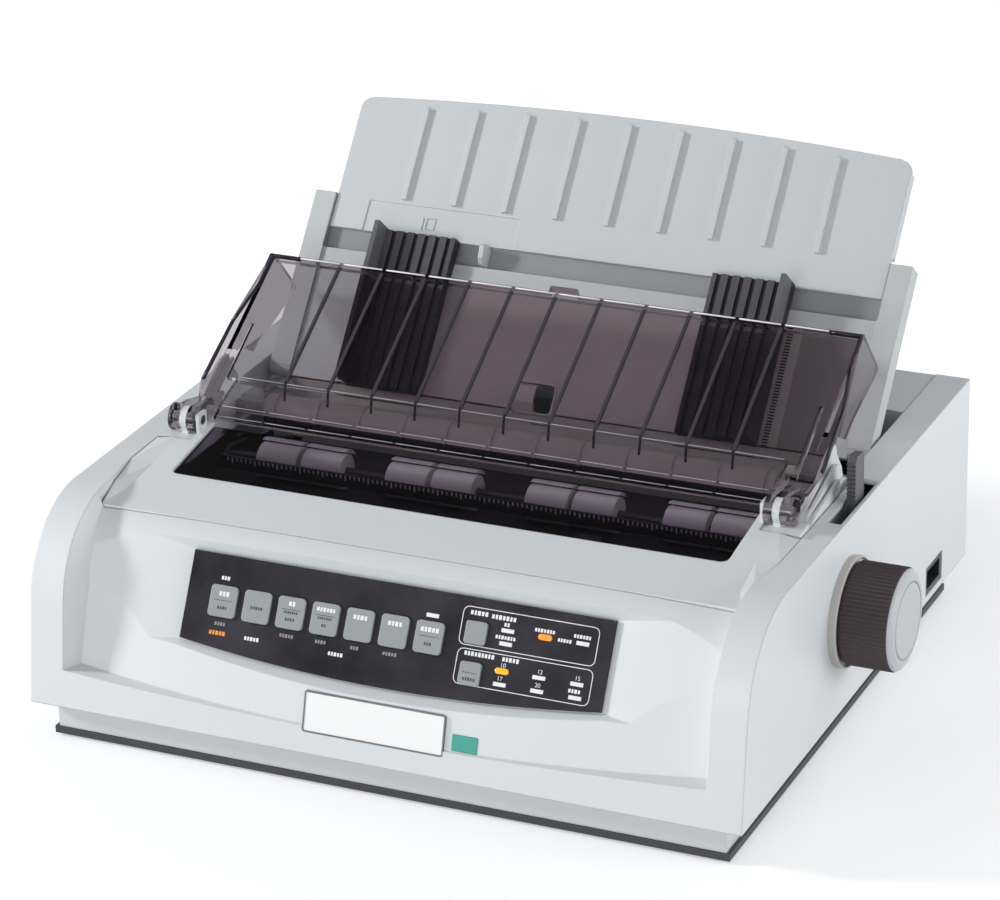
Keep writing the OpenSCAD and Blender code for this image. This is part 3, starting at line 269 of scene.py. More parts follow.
# %% Two colours on one part
def two_tone(material, other, lines):
    """A second colour on the far side of every line: each line is a direction and a distance in mm."""
    nodes, links = material.node_tree.nodes, material.node_tree.links
    shader = nodes["Principled BSDF"]
    first = shader.inputs["Base Color"].links[0].from_socket
    second = use_group(nodes, drift, Low=(*[0.92 * v for v in other], 1), High=(*other, 1))
    mask = None
    for direction, distance in lines:
        side = use_group(nodes, beyond, Direction=direction, Distance=distance * MM)
        if mask:
            both = nodes.new("ShaderNodeMath")
            both.operation = "MULTIPLY"
            links.new(mask, both.inputs[0])
            links.new(side.outputs["Mask"], both.inputs[1])
            mask = both.outputs[0]
        else:
            mask = side.outputs["Mask"]
    meet = nodes.new("ShaderNodeMix")
    meet.data_type = "RGBA"
    links.new(mask, meet.inputs["Factor"])
    links.new(first, meet.inputs[MIX_A])
    links.new(second.outputs["Color"], meet.inputs[MIX_B])
    links.new(meet.outputs[MIX_RESULT], shader.inputs["Base Color"])
    return material


GUIDE_TILT = math.radians(50.8)
GUIDE_FOOT = Vector((0, 60.7, 112))
up_guide = Vector((0, math.cos(GUIDE_TILT), math.sin(GUIDE_TILT)))
out_guide = Vector((0, -math.sin(GUIDE_TILT), math.cos(GUIDE_TILT)))


def guide_line(direction, distance):
    """A line at a distance in mm from the foot of the sheet guide."""
    return direction, distance + direction.dot(GUIDE_FOOT)


print("the sheet guide leans along", tuple(round(v, 3) for v in up_guide))

# %% [markdown]
# The case is a pale cool grey, a little darker on the skirt. The sheet surface seen through the hood is
# brown-grey, and so is the paper chute, whose colour is painted nearly black low down as shade, where no
# light reaches.
# The paper guides are charcoal, with a painted highlight on the lit crests of their upper part. All of these
# are the one recipe with other values, so the differences between them are easy to compare in a list.

# %% The large mouldings
ivory = plastic("ivory moulding", (0.680, 0.712, 0.738), 0.42, 1500, 0.05, edge=1.1)
skirt_grey = plastic("lower case grey", (0.62, 0.64, 0.65), 0.48, 1500, 0.05)
guide_grey = plastic("sheet guide grey", (0.55, 0.58, 0.60), 0.5, 900, 0.10, edge=0.6)
leftward, rightward, frontward, downward = (-1, 0, 0), (1, 0, 0), (0, -1, 0), (0, 0, -1)
sheet_face, slot_face = guide_line(out_guide, -4), guide_line(out_guide, -9)
sheet_right, sheet_top = (leftward, -148), guide_line(-up_guide, -60)
# The frame's base colour is a little darker than the guide panel's: painted shade of its recess. The
# brown-grey sheet surface on it is its own colour.
frame_grey_and_painted_shade = two_tone(
    plastic("guide frame grey and painted shade", (0.50, 0.53, 0.54), 0.5, 900, 0.10, edge=0.6), (0.36, 0.30, 0.31),
    [(rightward, -122), sheet_top, sheet_right, sheet_face])
# painted shade: a darker brown at the right end, in the shade of the right wall
frame_grey_and_painted_shade = two_tone(frame_grey_and_painted_shade, (0.21, 0.175, 0.18), [(rightward, 118), sheet_top, sheet_right, sheet_face])
# painted shade: a darker grey in the recessed slot below the panel's edge
frame_grey_and_painted_shade = two_tone(frame_grey_and_painted_shade, (0.28, 0.29, 0.295),
                      [guide_line(up_guide, 72.7), (rightward, -155), (leftward, -155), slot_face])
label_white = two_tone(plastic("label white", (0.88, 0.88, 0.88), 0.35, 1500, 0.01), (0.030, 0.33, 0.26),
                       [(rightward, 37.5)])
pan_black = plastic("base pan black", (0.035, 0.036, 0.040), 0.5, 900, 0.08)
panel_black = plastic("printed panel", (0.040, 0.036, 0.046), 0.34, 1800, 0.02, 2.2, (0.010, 0.009, 0.014),
                      edge=0.3, cloud=38, shine=0.14)
key_grey = plastic("key grey", (0.285, 0.305, 0.315), 0.38, 2200, 0.02, edge=0.9)
fence_charcoal_and_painted_highlight = plastic("paper guide charcoal and painted highlight", (0.024, 0.020, 0.028), 0.42, 1200, 0.05, edge=0.4, shine=0.2)
# painted highlight: lighter crests on the upper part, lit above the hood
fence_charcoal_and_painted_highlight = two_tone(fence_charcoal_and_painted_highlight, (0.12, 0.12, 0.125), [guide_line(out_guide, 5), guide_line(up_guide, 56)])
knob_brown = plastic("knob brown-grey", (0.070, 0.054, 0.058), 0.5, 1500, 0.04, edge=0.15, shine=0.2)
collar_grey = plastic("knob collar grey", (0.50, 0.48, 0.46), 0.4, 1500, 0.03, edge=0.3)
cap_grey = plastic("knob cap grey", (0.47, 0.50, 0.52), 0.30, 1500, 0.02, edge=0.4)
chute_brown_and_painted_shade = plastic("paper chute brown-grey and painted shade", (0.30, 0.255, 0.258), 0.45, 1500, 0.05)
# painted shade: nearly black low down at the front, where no light reaches
chute_brown_and_painted_shade = two_tone(chute_brown_and_painted_shade, (0.02, 0.018, 0.02), [(downward, -114), (frontward, -50)])
print("materials in the file:", len(bpy.data.materials))

# %% [markdown]
# The small parts follow. Printing is a plastic too, with hardly any grain, and so are the lamps and
# the rubber: the same recipe with its dials turned.

# %% The small mouldings, the printing and the lamps
lever_black = plastic("lever charcoal", (0.055, 0.055, 0.062), 0.4, 1500, 0.04, edge=0.4)
socket_black = plastic("socket black", (0.028, 0.028, 0.030), 0.4, 1800, 0.03, edge=0.3)
roller_white = plastic("roller grey", (0.80, 0.81, 0.80), 0.4, 1500, 0.03)
gear_white = plastic("gear nylon", (0.70, 0.69, 0.64), 0.35, 1500, 0.02, edge=0.2)
carriage_black = plastic("carriage black", (0.030, 0.030, 0.034), 0.5, 1500, 0.04)
cartridge_black = plastic("ribbon case black", (0.022, 0.022, 0.026), 0.35, 1500, 0.03)
tractor_grey = plastic("tractor grey", (0.22, 0.22, 0.23), 0.42, 1500, 0.04)
print_white = plastic("print white", (0.84, 0.84, 0.86), 0.5, 1500, 0.005, edge=0.05)
print_grey = plastic("print grey", (0.24, 0.23, 0.25), 0.5, 1500, 0.005, edge=0.05)
print_dark = plastic("print dark", (0.05, 0.052, 0.056), 0.5, 1500, 0.005, edge=0.05)
print_orange = plastic("print orange", (0.95, 0.30, 0.03), 0.5, 1500, 0.005, edge=0.05)
lamp_orange = plastic("lamp orange", (1.00, 0.30, 0.02), 0.2, 1500, 0.005, edge=0.3)
lamp_yellow = plastic("lamp yellow", (1.00, 0.45, 0.01), 0.2, 1500, 0.005, edge=0.3)
rubber_black = plastic("rubber", (0.030, 0.030, 0.032), 0.75, 1200, 0.06, edge=0.4, shine=0.3)
print("materials in the file:", len(bpy.data.materials))

# %% [markdown]
# ## Metals, boards and clear sheets
#
# The metal inside is zinc plated sheet, motors and brass. A metal is made by the same recipe as a
# plastic, with its grain kept shallow and its Metallic dial turned up.

# %% A metal
def metal(name, colour, roughness, metallic=1.0):
    material = plastic(name, colour, roughness, 900, 0.02, edge=0.3)
    material.node_tree.nodes["Principled BSDF"].inputs["Metallic"].default_value = metallic
    return material


zinc = metal("zinc plated sheet", (0.50, 0.51, 0.53), 0.36)
turned_steel = metal("turned steel", (0.58, 0.59, 0.60), 0.22)
cast_head = metal("cast head alloy", (0.20, 0.20, 0.21), 0.45, metallic=0.8)
motor_case = metal("motor case", (0.30, 0.30, 0.31), 0.4)
brass = metal("brass", (0.62, 0.45, 0.19), 0.3)
bed_grey = plastic("painted bed", (0.030, 0.030, 0.034), 0.5, 1200, 0.04)
black_steel = metal("blackened steel", (0.10, 0.10, 0.11), 0.4)
board_green = plastic("circuit board", (0.030, 0.160, 0.070), 0.35, 600, 0.03, 1.5, (0.020, 0.110, 0.045),
                      cloud=60)
ribbon_wire = plastic("flat cable", (0.62, 0.60, 0.54), 0.4, 1500, 0.02)
print("materials in the file:", len(bpy.data.materials))

# %% [markdown]
# The hood and the window are smoked acrylic. Real glass shaders keep lamp light out of what is
# behind them, since a renderer hardly ever finds the bent path to a lamp. So for shadow rays alone
# the sheet turns into a plain tinted filter, and the rollers behind it are lit as they should be.
# The studio round the printer is white, and a sheet that mirrors white looks milky. The sheets in
# the portrait look nearly black, so their refraction is set low, which weakens the mirror image.

# %% Smoked acrylic
def clear_sheet(name, tint, bending, shade):
    """A clear sheet with the tint of what is seen through it and the shade of its shadow."""
    material = bpy.data.materials.new(name)
    material.use_nodes = True
    nodes, links = material.node_tree.nodes, material.node_tree.links
    shader = nodes["Principled BSDF"]
    shader.inputs["Roughness"].default_value = 0
    shader.inputs["IOR"].default_value = bending
    shader.inputs["Transmission Weight"].default_value = 1
    tone = use_group(nodes, drift, Scale=6, Low=(*[0.96 * v for v in tint], 1), High=(*tint, 1))
    links.new(tone.outputs["Color"], shader.inputs["Base Color"])
    filter_only = nodes.new("ShaderNodeBsdfTransparent")
    filter_only.inputs["Color"].default_value = (*shade, 1)
    path = nodes.new("ShaderNodeLightPath")
    either = nodes.new("ShaderNodeMixShader")
    links.new(path.outputs["Is Shadow Ray"], either.inputs["Fac"])
    links.new(shader.outputs[0], either.inputs[1])
    links.new(filter_only.outputs[0], either.inputs[2])
    links.new(either.outputs[0], nodes["Material Output"].inputs["Surface"])
    return material


smoke = clear_sheet("smoked acrylic", (0.51, 0.48, 0.505), 1.10, (0.55, 0.52, 0.55))
dark_smoke = clear_sheet("smoked window", (0.34, 0.30, 0.355), 1.05, (0.28, 0.24, 0.29))
print("clear sheets:", smoke.name, "and", dark_smoke.name)

# %% [markdown]
# ## Give each part its finish
#
# Every part gets one finish. Each could be given by a line of its own, but a plain list of finish and
# parts is easier to read and to change than sixty separate lines.

# %% Finishes by part
FINISHES = [
    (ivory, "upper_case access_cover hood_brackets"),
    (skirt_grey, "lower_case rear_cover"),
    (frame_grey_and_painted_shade, "sheet_guide_frame"),
    (guide_grey, "sheet_guide_panel"),
    (label_white, "nameplate"),
    (print_white, "panel_lamps"),
    (pan_black, "base_pan"),
    (rubber_black, "rubber_feet platen carriage_belt"),
    (panel_black, "operator_panel"),
    (key_grey, "key_1 key_2 key_3 key_4 key_5 key_6 key_7 quality_key pitch_key ribbon_knob"),
    (fence_charcoal_and_painted_highlight, "left_paper_guide right_paper_guide"),
    (knob_brown, "platen_knob"),
    (chute_brown_and_painted_shade, "paper_chute"),
    (lever_black, "paper_lever"),
    (socket_black, "power_inlet power_switch rear_connectors"),
    (roller_white, "bail_rollers"),
    (gear_white, "platen_gear feed_idler tractor_idler_a tractor_idler_b drive_pulley idler_pulley"),
    (carriage_black, "carriage"),
    (cartridge_black, "ribbon_cartridge"),
    (tractor_grey, "left_tractor right_tractor"),
    (zinc, "side_frames power_supply"),
    (black_steel, "paper_bail"),
    (bed_grey, "chassis_bed"),
    (turned_steel, "hood_hinge_pins platen_shaft tractor_shaft guide_rods"),
    (cast_head, "print_head"),
    (motor_case, "feed_motor carriage_motor"),
    (brass, "feed_pinion"),
    (board_green, "control_board main_board"),
    (ribbon_wire, "head_cable"),
    (smoke, "smoked_hood"),
    (dark_smoke, "cover_window"),
]
finished = set()
for material, names in FINISHES:
    for name in names.split():
        parts[name].data.materials.clear()
        parts[name].data.materials.append(material)
        finished.add(name)
print("parts still plain:", sorted(set(parts) - finished))

# %% [markdown]
# ## Tools for the small pieces
#
# Printed lines, lamp lenses and teeth are thin shapes that lie on a face of the printer. Placing each
# one by hand in the room's coordinates would be slow and easy to get wrong. It is simpler to draw them
# flat, in millimetres, on the face itself, and to let one matrix carry them to their place. Here are
# the faces: the panel slopes by 61.3 degrees, the sheet guide by 50.8 and the hood by 30.9.

# %% The sloping faces
def face(origin, tilt):
    """x runs across the face, y up its slope and z out of it, in millimetres."""
    return Matrix.Translation(Vector(origin) * MM) @ Matrix.Rotation(tilt, 4, "X") @ Matrix.Scale(MM, 4)


room = Matrix.Scale(MM, 4)
on_panel = face((0, -136.2, 78.9), math.radians(61.3))
on_guide = face(GUIDE_FOOT, GUIDE_TILT)
on_hood = face((0, 63.64, 177.62), math.radians(30.9))
print("the panel's centre is at", tuple(round(v, 3) for v in on_panel.translation))

# %% [markdown]
# Every small piece starts as an outline with rounded corners, because nothing moulded or printed has
# a perfectly sharp one. A plate fills the outline, a band follows it as a raised line, and a rod joins
# two points. Each is drawn into an empty mesh, its form, so that many marks can share one piece.

# %% Outlines, plates, bands and rods
def rounded_outline(w, h, r, steps=3):
    """The corners of a rectangle, each one a quarter circle of a few steps."""
    points = []
    for side_x, side_y, start in ((1, 1, 0), (-1, 1, 90), (-1, -1, 180), (1, -1, 270)):
        for k in range(steps + 1):
            angle = math.radians(start + 90 * k / steps)
            points.append((side_x * (w / 2 - r) + r * math.cos(angle),
                           side_y * (h / 2 - r) + r * math.sin(angle)))
    return points


def ring(form, outline, x, y, z):
    return [form.verts.new((x + px, y + py, z)) for px, py in outline]


def join_rings(form, first, second):
    for k in range(len(first)):
        following = (k + 1) % len(first)
        form.faces.new((first[k], first[following], second[following], second[k]))


def close_between(form, rings):
    """Walls from ring to ring, and a lid on each end."""
    for first, second in zip(rings, rings[1:]):
        join_rings(form, first, second)
    form.faces.new(rings[-1])
    form.faces.new(list(reversed(rings[0])))


def plate(form, x, y, w, h, low, high, r=0.2):
    """A flat plate whose top edge is a little smaller than its foot."""
    foot = ring(form, rounded_outline(w, h, r), x, y, low)
    top = ring(form, rounded_outline(w * 0.97, h * 0.97, r), x, y, high)
    close_between(form, [foot, top])


def band(form, x, y, w, h, r, line, low, high):
    """A raised line of the given width that follows the outline on its inner side."""
    outer, inner = rounded_outline(w, h, r), rounded_outline(w - 2 * line, h - 2 * line, max(r - line, 0.1))
    rings = [ring(form, outer, x, y, low), ring(form, outer, x, y, high),
             ring(form, inner, x, y, high), ring(form, inner, x, y, low)]
    for k in range(4):
        join_rings(form, rings[k], rings[(k + 1) % 4])


def rod(form, start, end, r, sides=12):
    """A round rod with small rounded ends, between two points."""
    axis = Vector(end) - Vector(start)
    turn = axis.to_track_quat("Z", "Y")
    rings = []
    for along, shrink in ((0, 0.6), (0.3 * r, 1), (axis.length - 0.3 * r, 1), (axis.length, 0.6)):
        circle = []
        for k in range(sides):
            angle = math.tau * k / sides
            spot = Vector((r * shrink * math.cos(angle), r * shrink * math.sin(angle), along))
            circle.append(form.verts.new(Vector(start) + turn @ spot))
        rings.append(circle)
    close_between(form, rings)


print("points in a rounded outline:", len(rounded_outline(10, 5, 1)))

# %% [markdown]
# A form has no finish, and it doesn't know which part carries it. One function does the rest for every
# piece, so no piece can be forgotten: it carries the form to its face, gives it its finish, and hangs
# it on a body, so that it moves when that body moves.

# %% Turn a form into a piece
def piece_from(name, form, material, body, place=room, smooth=False):
    """Carries a drawn form to its place, gives it its finish and hangs it on its body."""
    bmesh.ops.recalc_face_normals(form, faces=form.faces)
    mesh = bpy.data.meshes.new(name)
    form.to_mesh(mesh)
    form.free()
    mesh.transform(place)
    for polygon in mesh.polygons:
        polygon.use_smooth = smooth
    mesh.materials.append(material)
    piece = bpy.data.objects.new(name, mesh)
    bpy.context.scene.collection.objects.link(piece)
    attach(piece, body)
    return piece


print("10 mm up the hood lies at", tuple(round(v, 4) for v in on_hood @ Vector((0, 10, 0))))

# %% [markdown]
# ## The printed panel
#
# The panel's printing is white and grey ink on a dark sheet. The wording of the real one isn't
# copied: each word is a row of small plain blocks, one for each letter, which keeps the look of
# printing from a step away. The ink is 0.06 mm thick, so it is a shape of its own and not a picture.

# %% Words as blocks
PANEL_FACE = 2.0
INK = 0.06
SUNK = 0.01  # how deep a mark's foot lies in the face
LETTER_WIDTHS = (0.62, 0.5, 0.7, 0.56, 0.66, 0.48)


def word(form, x, y, letters, height, low):
    """A row of blocks centred on x, y: their widths repeat in a fixed uneven order."""
    widths = [LETTER_WIDTHS[k % len(LETTER_WIDTHS)] * height for k in range(letters)]
    gap = 0.24 * height
    at = x - (sum(widths) + gap * (letters - 1)) / 2
    for k, width in enumerate(widths):
        tall = height if k % 3 else height * 0.92
        plate(form, at + width / 2, y, width, tall, low, low + INK, 0.15)
        at += width + gap


# Each word: its place across and up the panel, its number of letters and its height
PANEL_WORDS = [
    ("white words", print_white, [
        (-91.0, 10.2, 3, 1.9), (-72.0, -16.5, 5, 1.9), (-27.3, -16.6, 5, 1.9), (42.0, 14.2, 5, 2.2),
        (54.6, 13.9, 7, 2.2), (45.5, -5.0, 9, 2.1), (61.5, -5.0, 5, 2.1), (56.6, 11.0, 2, 1.9),
        (57.0, 4.9, 7, 1.8), (75.9, 11.2, 7, 1.8), (86.4, 8.3, 5, 1.7), (94.8, 11.4, 6, 1.8),
        (95.4, -14.0, 4, 1.9)]),
    ("grey words", print_grey, [
        (-90.0, -11.9, 4, 1.8), (-54.2, -12.1, 5, 1.8), (-36.1, -12.1, 4, 1.8), (-18.1, -12.1, 3, 1.8),
        (0.3, -12.0, 5, 1.8)]),
    ("orange word", print_orange, [(-90.6, -16.4, 5, 2.1)]),
]
for title, ink, places in PANEL_WORDS:
    form = bmesh.new()
    for x, y, letters, height in places:
        word(form, x, y, letters, height, PANEL_FACE - SUNK)
    piece_from("panel_" + title.replace(" ", "_"), form, ink, "case", on_panel)
print("panel words:", sum(len(places) for _, _, places in PANEL_WORDS))

# %% [markdown]
# Two thin white frames with rounded corners group the small lamps. The plain numbers beside the lamps
# are the print's pitch in characters per inch, so they stay, as on any such panel.

# %% Frames and numbers
FRAMES = [(68.4, 7.8, 69.4, 18.4), (68.85, -11.4, 69.1, 17.2)]  # centre, width and height
FRAME_CORNER, FRAME_LINE = 3.0, 0.38
form = bmesh.new()
for x, y, w, h in FRAMES:
    band(form, x, y, w, h, FRAME_CORNER, FRAME_LINE, PANEL_FACE - SUNK, PANEL_FACE + INK)
piece_from("panel_frames", form, print_white, "case", on_panel)

PITCHES = [("10", 58.2, -8.9), ("12", 77.0, -8.9), ("15", 96.0, -8.8), ("17", 57.7, -15.2),
           ("20", 77.0, -15.2)]
for label, x, y in PITCHES:
    numerals = bpy.data.curves.new("pitch_" + label, "FONT")
    numerals.body = label
    numerals.size = 2.9
    numerals.extrude = INK
    numerals.align_x = "CENTER"
    numerals.materials.append(print_white)
    numeral = bpy.data.objects.new("pitch_" + label, numerals)
    numeral.matrix_world = on_panel @ Matrix.Translation((x, y, PANEL_FACE))
    bpy.context.scene.collection.objects.link(numeral)
    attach(numeral, "case")
print("pitch numbers:", [label for label, _, _ in PITCHES])

# %% [markdown]
# Two of the lamps are lit: an orange one and a yellow one. A lit lamp looks larger than a dark one,
# because its light spills over the lens. A halo could be painted on afterwards, but a domed lens over
# the plain lamp below, with a weak glow of its own, looks right from every side.

# %% Lit lamps
def lens_dome(form, x, y, w, h, low):
    """A flat dome: the rings shrink as they climb along a quarter of an ellipse."""
    rings = []
    for share in (1, 0.94, 0.8, 0.55, 0.2):
        outline = rounded_outline(w * share, h * share, h * share * 0.49, 6)
        rings.append(ring(form, outline, x, y, low + 0.55 * math.sqrt(1 - share * share * 0.98)))
    close_between(form, rings)


LENS_W, LENS_H = 7.2, 3.0
LIT_LAMPS = [("lit_lamp_font", lamp_orange, 76.7, 8.3), ("lit_lamp_pitch", lamp_yellow, 58.2, -10.7)]
for name, material, x, y in LIT_LAMPS:
    glow = material.node_tree.nodes["Principled BSDF"]
    tone = glow.inputs["Base Color"].links[0].from_node
    glow.inputs["Emission Color"].default_value = tone.inputs["High"].default_value
    glow.inputs["Emission Strength"].default_value = 0.25
    form = bmesh.new()
    lens_dome(form, x, y, LENS_W, LENS_H, PANEL_FACE + 0.2)
    piece_from(name, form, material, "case", on_panel, smooth=True)
print("lit lamps:", len(LIT_LAMPS))

# %% [markdown]
# ## The keys
#
# Most keys carry a light word on the upper half, a fine dark line and a dark word below. The marks
# could be one piece on the panel, but the keys are pressed, and their marks sink with them. So each
# key's marks hang on that key's own body.

# %% Key legends
KEY_FACE = 3.3
FIRST_KEY, KEY_PITCH, KEY_ROW = -89.8, 18.15, -1
PITCH_KEY = (42.7, -14.3)
# For each key: its light word as letters and height above the centre, whether it has a line, and its
# dark words as letters and height
KEY_MARKS = {
    "key_1": ((3, 3.6), True, [(4, -3.2)]),
    "key_2": (None, False, [(5, -0.6)]),
    "key_3": ((2, 4.4), True, [(7, 0.2), (4, -3.2)]),
    "key_4": ((6, 4.4), True, [(7, 0.2), (2, -3.2)]),
    "key_5": ((4, 3.6), False, []),
    "key_6": ((4, 3.6), False, []),
    "key_7": ((5, 3.6), True, [(3, -3.2)]),
    "pitch_key": (None, True, [(5, -2.8)]),
}
for number, (key, (light, line, dark)) in enumerate(KEY_MARKS.items()):
    small = key == "pitch_key"
    x, y = PITCH_KEY if small else (FIRST_KEY + number * KEY_PITCH, KEY_ROW)
    line_y = y + (0.3 if small else 1.6 if len(dark) > 1 else 0.4)
    if light:
        form = bmesh.new()
        word(form, x, y + light[1], light[0], 2.3 if light[0] < 6 else 2.0, KEY_FACE - SUNK)
        piece_from(key + "_light_word", form, print_white, key + "_body", on_panel)
    form = bmesh.new()
    if line:
        plate(form, x, line_y, 7.6 if small else 10, 0.3, KEY_FACE - SUNK, KEY_FACE + INK, 0.1)
    for letters, down in dark:
        word(form, x, y + down, letters, 1.6 if letters < 6 else 1.3, KEY_FACE - SUNK)
    if line or dark:
        piece_from(key + "_dark_word", form, print_dark, key + "_body", on_panel)
    else:
        form.free()
print("keys with marks:", len(KEY_MARKS))

# %% [markdown]
# ## The nameplate
#
# The plate itself stays bare. What makes it read as a plate is a thin dark rim round it, painted shadow of
# the gap along its edge, with a dark metal finish. The plate leans with the case. Its place could be typed
# in, but it is read from the plate's own largest flat side, so the rim still fits if the plate is moved.

# %% Nameplate rim
LABEL_START = 37  # the small green label begins just beyond
plate_mesh = parts["nameplate"].data
front = max((p for p in plate_mesh.polygons if p.normal.y < -0.5), key=lambda p: p.area)
level = front.normal.dot(plate_mesh.vertices[front.vertices[0]].co)
corners = [v.co for v in plate_mesh.vertices
           if abs(front.normal.dot(v.co) - level) < 0.02 * MM and v.co.x < LABEL_START * MM]
plate_low = Vector([min(c[k] for c in corners) for k in range(3)])
plate_high = Vector([max(c[k] for c in corners) for k in range(3)])
lean = math.atan2(-front.normal.y, front.normal.z)
on_plate = face((plate_low + plate_high) / 2 / MM, lean)
span = (plate_high - plate_low) / MM
plate_w, plate_h = span.x, math.hypot(span.y, span.z)
RIM_OUT, RIM_LINE, RIM_BACK, RIM_FRONT = 0.3, 0.75, -0.8, 0.25
form = bmesh.new()
band(form, 0, 0, plate_w + 2 * RIM_OUT, plate_h + 2 * RIM_OUT, 1.3, RIM_LINE, RIM_BACK, RIM_FRONT)
# painted shadow: the dark rim stands for the shaded gap round the plate
rim_painted_shade = metal("nameplate painted shadow rim", (0.16, 0.16, 0.17), 0.3)
piece_from("nameplate_painted_shadow_rim", form, rim_painted_shade, "case", on_plate)
print(f"nameplate {plate_w:.1f} x {plate_h:.1f} mm")

# %% [markdown]
# ## The platen knob
#
# The knob is a barrel with fine flutes for the fingers and a pale cap pressed into its end. A solid
# with sixty ribs shows the idea, but real flutes are round-bottomed and close together. So the knob is
# turned here as on a lathe: a list of stations gives the distance along the axis and the radius, and
# the fluted stations let the radius rise and fall as they go round. The barrel then stands in for the
# solid knob, which is left out of the picture.

# %% Turn the knob
knob_low, knob_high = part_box("platen_knob")
KNOB_START, KNOB_END = knob_low.x / MM, knob_high.x / MM
KNOB_Y, KNOB_Z = -24, 71  # the axis of the paper roller
FLUTES, FLUTE_DEPTH = 72, 0.75
ROUND = 96  # points in a smooth circle


def turned(form, stations, steps, depth=0.0, waves=0):
    """Rings round the knob's axis. Each station is x, radius and the share of the flutes' depth."""
    rings = []
    for x, radius, share in stations:
        circle = []
        for k in range(steps):
            angle = math.tau * k / steps
            r = radius - depth * share * (0.5 - 0.5 * math.cos(waves * angle))
            circle.append(form.verts.new((x, KNOB_Y + r * math.cos(angle), KNOB_Z + r * math.sin(angle))))
        rings.append(circle)
    return rings


BARREL = [(KNOB_START, 9, 0), (KNOB_START, 24.2, 0), (KNOB_START + 1.6, 24.4, 0), (KNOB_START + 1.9, 25.6, 1),
          (KNOB_END - 3.6, 25.6, 1), (KNOB_END - 3.0, 25.0, 0), (KNOB_END - 2.8, 20, 0)]
CAP = [(-3.1, 18), (-3.1, 24.7), (-2.6, 25.0), (-1.4, 24.1), (-0.3, 21.6), (-0.1, 19.5), (-0.9, 19.2),
       (-0.9, 18.8), (-0.15, 18.5), (0, 17.5), (-0.1, 6)]
form = bmesh.new()
close_between(form, turned(form, BARREL, FLUTES * 6, FLUTE_DEPTH, FLUTES))
barrel = piece_from("knob_barrel", form, knob_brown, "roller")
form = bmesh.new()
close_between(form, turned(form, [(KNOB_END + x, radius, 0) for x, radius in CAP], ROUND))
piece_from("knob_cap", form, cap_grey, "roller")
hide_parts("platen_knob")
print(f"knob from {KNOB_START:.1f} to {KNOB_END:.1f} mm with {FLUTES} flutes")

# %% [markdown]
# A raised collar surrounds the hole that the knob's shaft comes through, so that nothing slips in
# behind the knob. It is turned like the knob, but its stations close on themselves and leave a hole.

# %% Collar round the knob
CHEEK = 186  # the outside of the case's right wall
COLLAR = [(-0.2, 27.4), (3.4, 27.7), (4.2, 27.3), (4.2, 26.5), (0.2, 26.2), (-0.2, 26.2)]
form = bmesh.new()
rings = turned(form, [(CHEEK + x, radius, 0) for x, radius in COLLAR], ROUND)
for k in range(len(rings)):
    join_rings(form, rings[k], rings[(k + 1) % len(rings)])
piece_from("knob_collar", form, collar_grey, "case")
print("collar stations:", len(COLLAR))

# %% [markdown]
# ## The sheet guide's small parts
#
# A small raised picture of a sheet shows which side to load. Beside the left paper guide a thin fin
# stands up. Both are flat outlines, drawn on the leaning face of the guide. The fin's outline is seen
# from the side, so it is drawn twice, once for each of its faces, and joined.

# %% Sheet mark and fin
MARK_FOOT, MARK_TOP = -2.35, -1.85
form = bmesh.new()
plate(form, -102.2, 92.0, 0.8, 7.2, MARK_FOOT, MARK_TOP)
band(form, -97.6, 92.4, 5.4, 6.6, 0.6, 0.5, MARK_FOOT, MARK_TOP)
piece_from("sheet_mark", form, guide_grey, "guide", on_guide)

FIN = [(73.2, -4.8), (84.0, -4.8), (84.0, 3.5), (82.4, 6.0), (76.0, 4.6), (73.2, 1.5)]
FIN_SIDES = (-63.4, -60.8)
form = bmesh.new()
sides = [[form.verts.new((x, y, z)) for y, z in FIN] for x in FIN_SIDES]
close_between(form, sides)
piece_from("guide_fin", form, guide_grey, "guide_left", on_guide)
print("the fin is", round(FIN_SIDES[1] - FIN_SIDES[0], 1), "mm thick")

# %% [markdown]
# In the middle of the guide a brown flag feels for the sheet through its window. It is a bent strip:
# its curved outline is drawn on both sides, and again a little smaller inside, which gives the strip
# its thickness. A raised rim runs round the window.

# %% Sheet flag and its rim
FLAG = [(-1.0, -6.6), (-0.6, -1.2), (3.5, 1.6), (8.5, 2.4), (12.2, 1.2), (14.4, -2.0), (14.6, -6.0)]
FLAG_SIDES, FLAG_INSET = (-25.8, -14.5), 1.4
form = bmesh.new()
outer = [[form.verts.new((x, y, z)) for y, z in FLAG] for x in FLAG_SIDES]
inner = [[form.verts.new((x, y * 0.8 + FLAG_INSET, z - FLAG_INSET)) for y, z in FLAG] for x in FLAG_SIDES]
for k in range(len(FLAG) - 1):
    form.faces.new((outer[0][k], outer[0][k + 1], outer[1][k + 1], outer[1][k]))
    form.faces.new((inner[0][k], inner[1][k], inner[1][k + 1], inner[0][k + 1]))
    for side in (0, 1):
        form.faces.new((outer[side][k], inner[side][k], inner[side][k + 1], outer[side][k + 1]))
for k in (0, -1):
    form.faces.new((outer[0][k], outer[1][k], inner[1][k], inner[0][k]))
flag_brown = plastic("sheet flag brown", (0.42, 0.36, 0.37), 0.4, 1500, 0.03, edge=0.4)
piece_from("sheet_flag", form, flag_brown, "guide", on_guide)
form = bmesh.new()
band(form, -15.5, 7, 22.4, 17.4, 3.0, 1.0, -1.85, -1.2)
piece_from("sheet_flag_rim", form, flag_brown, "guide", on_guide)
print("stations of the flag:", len(FLAG))

# %% [markdown]
# Along the edge of each paper guide's track runs a rack of fine teeth, in which the guide clicks. A
# striped colour would look like it from the front, but teeth also catch the light, so they are drawn.

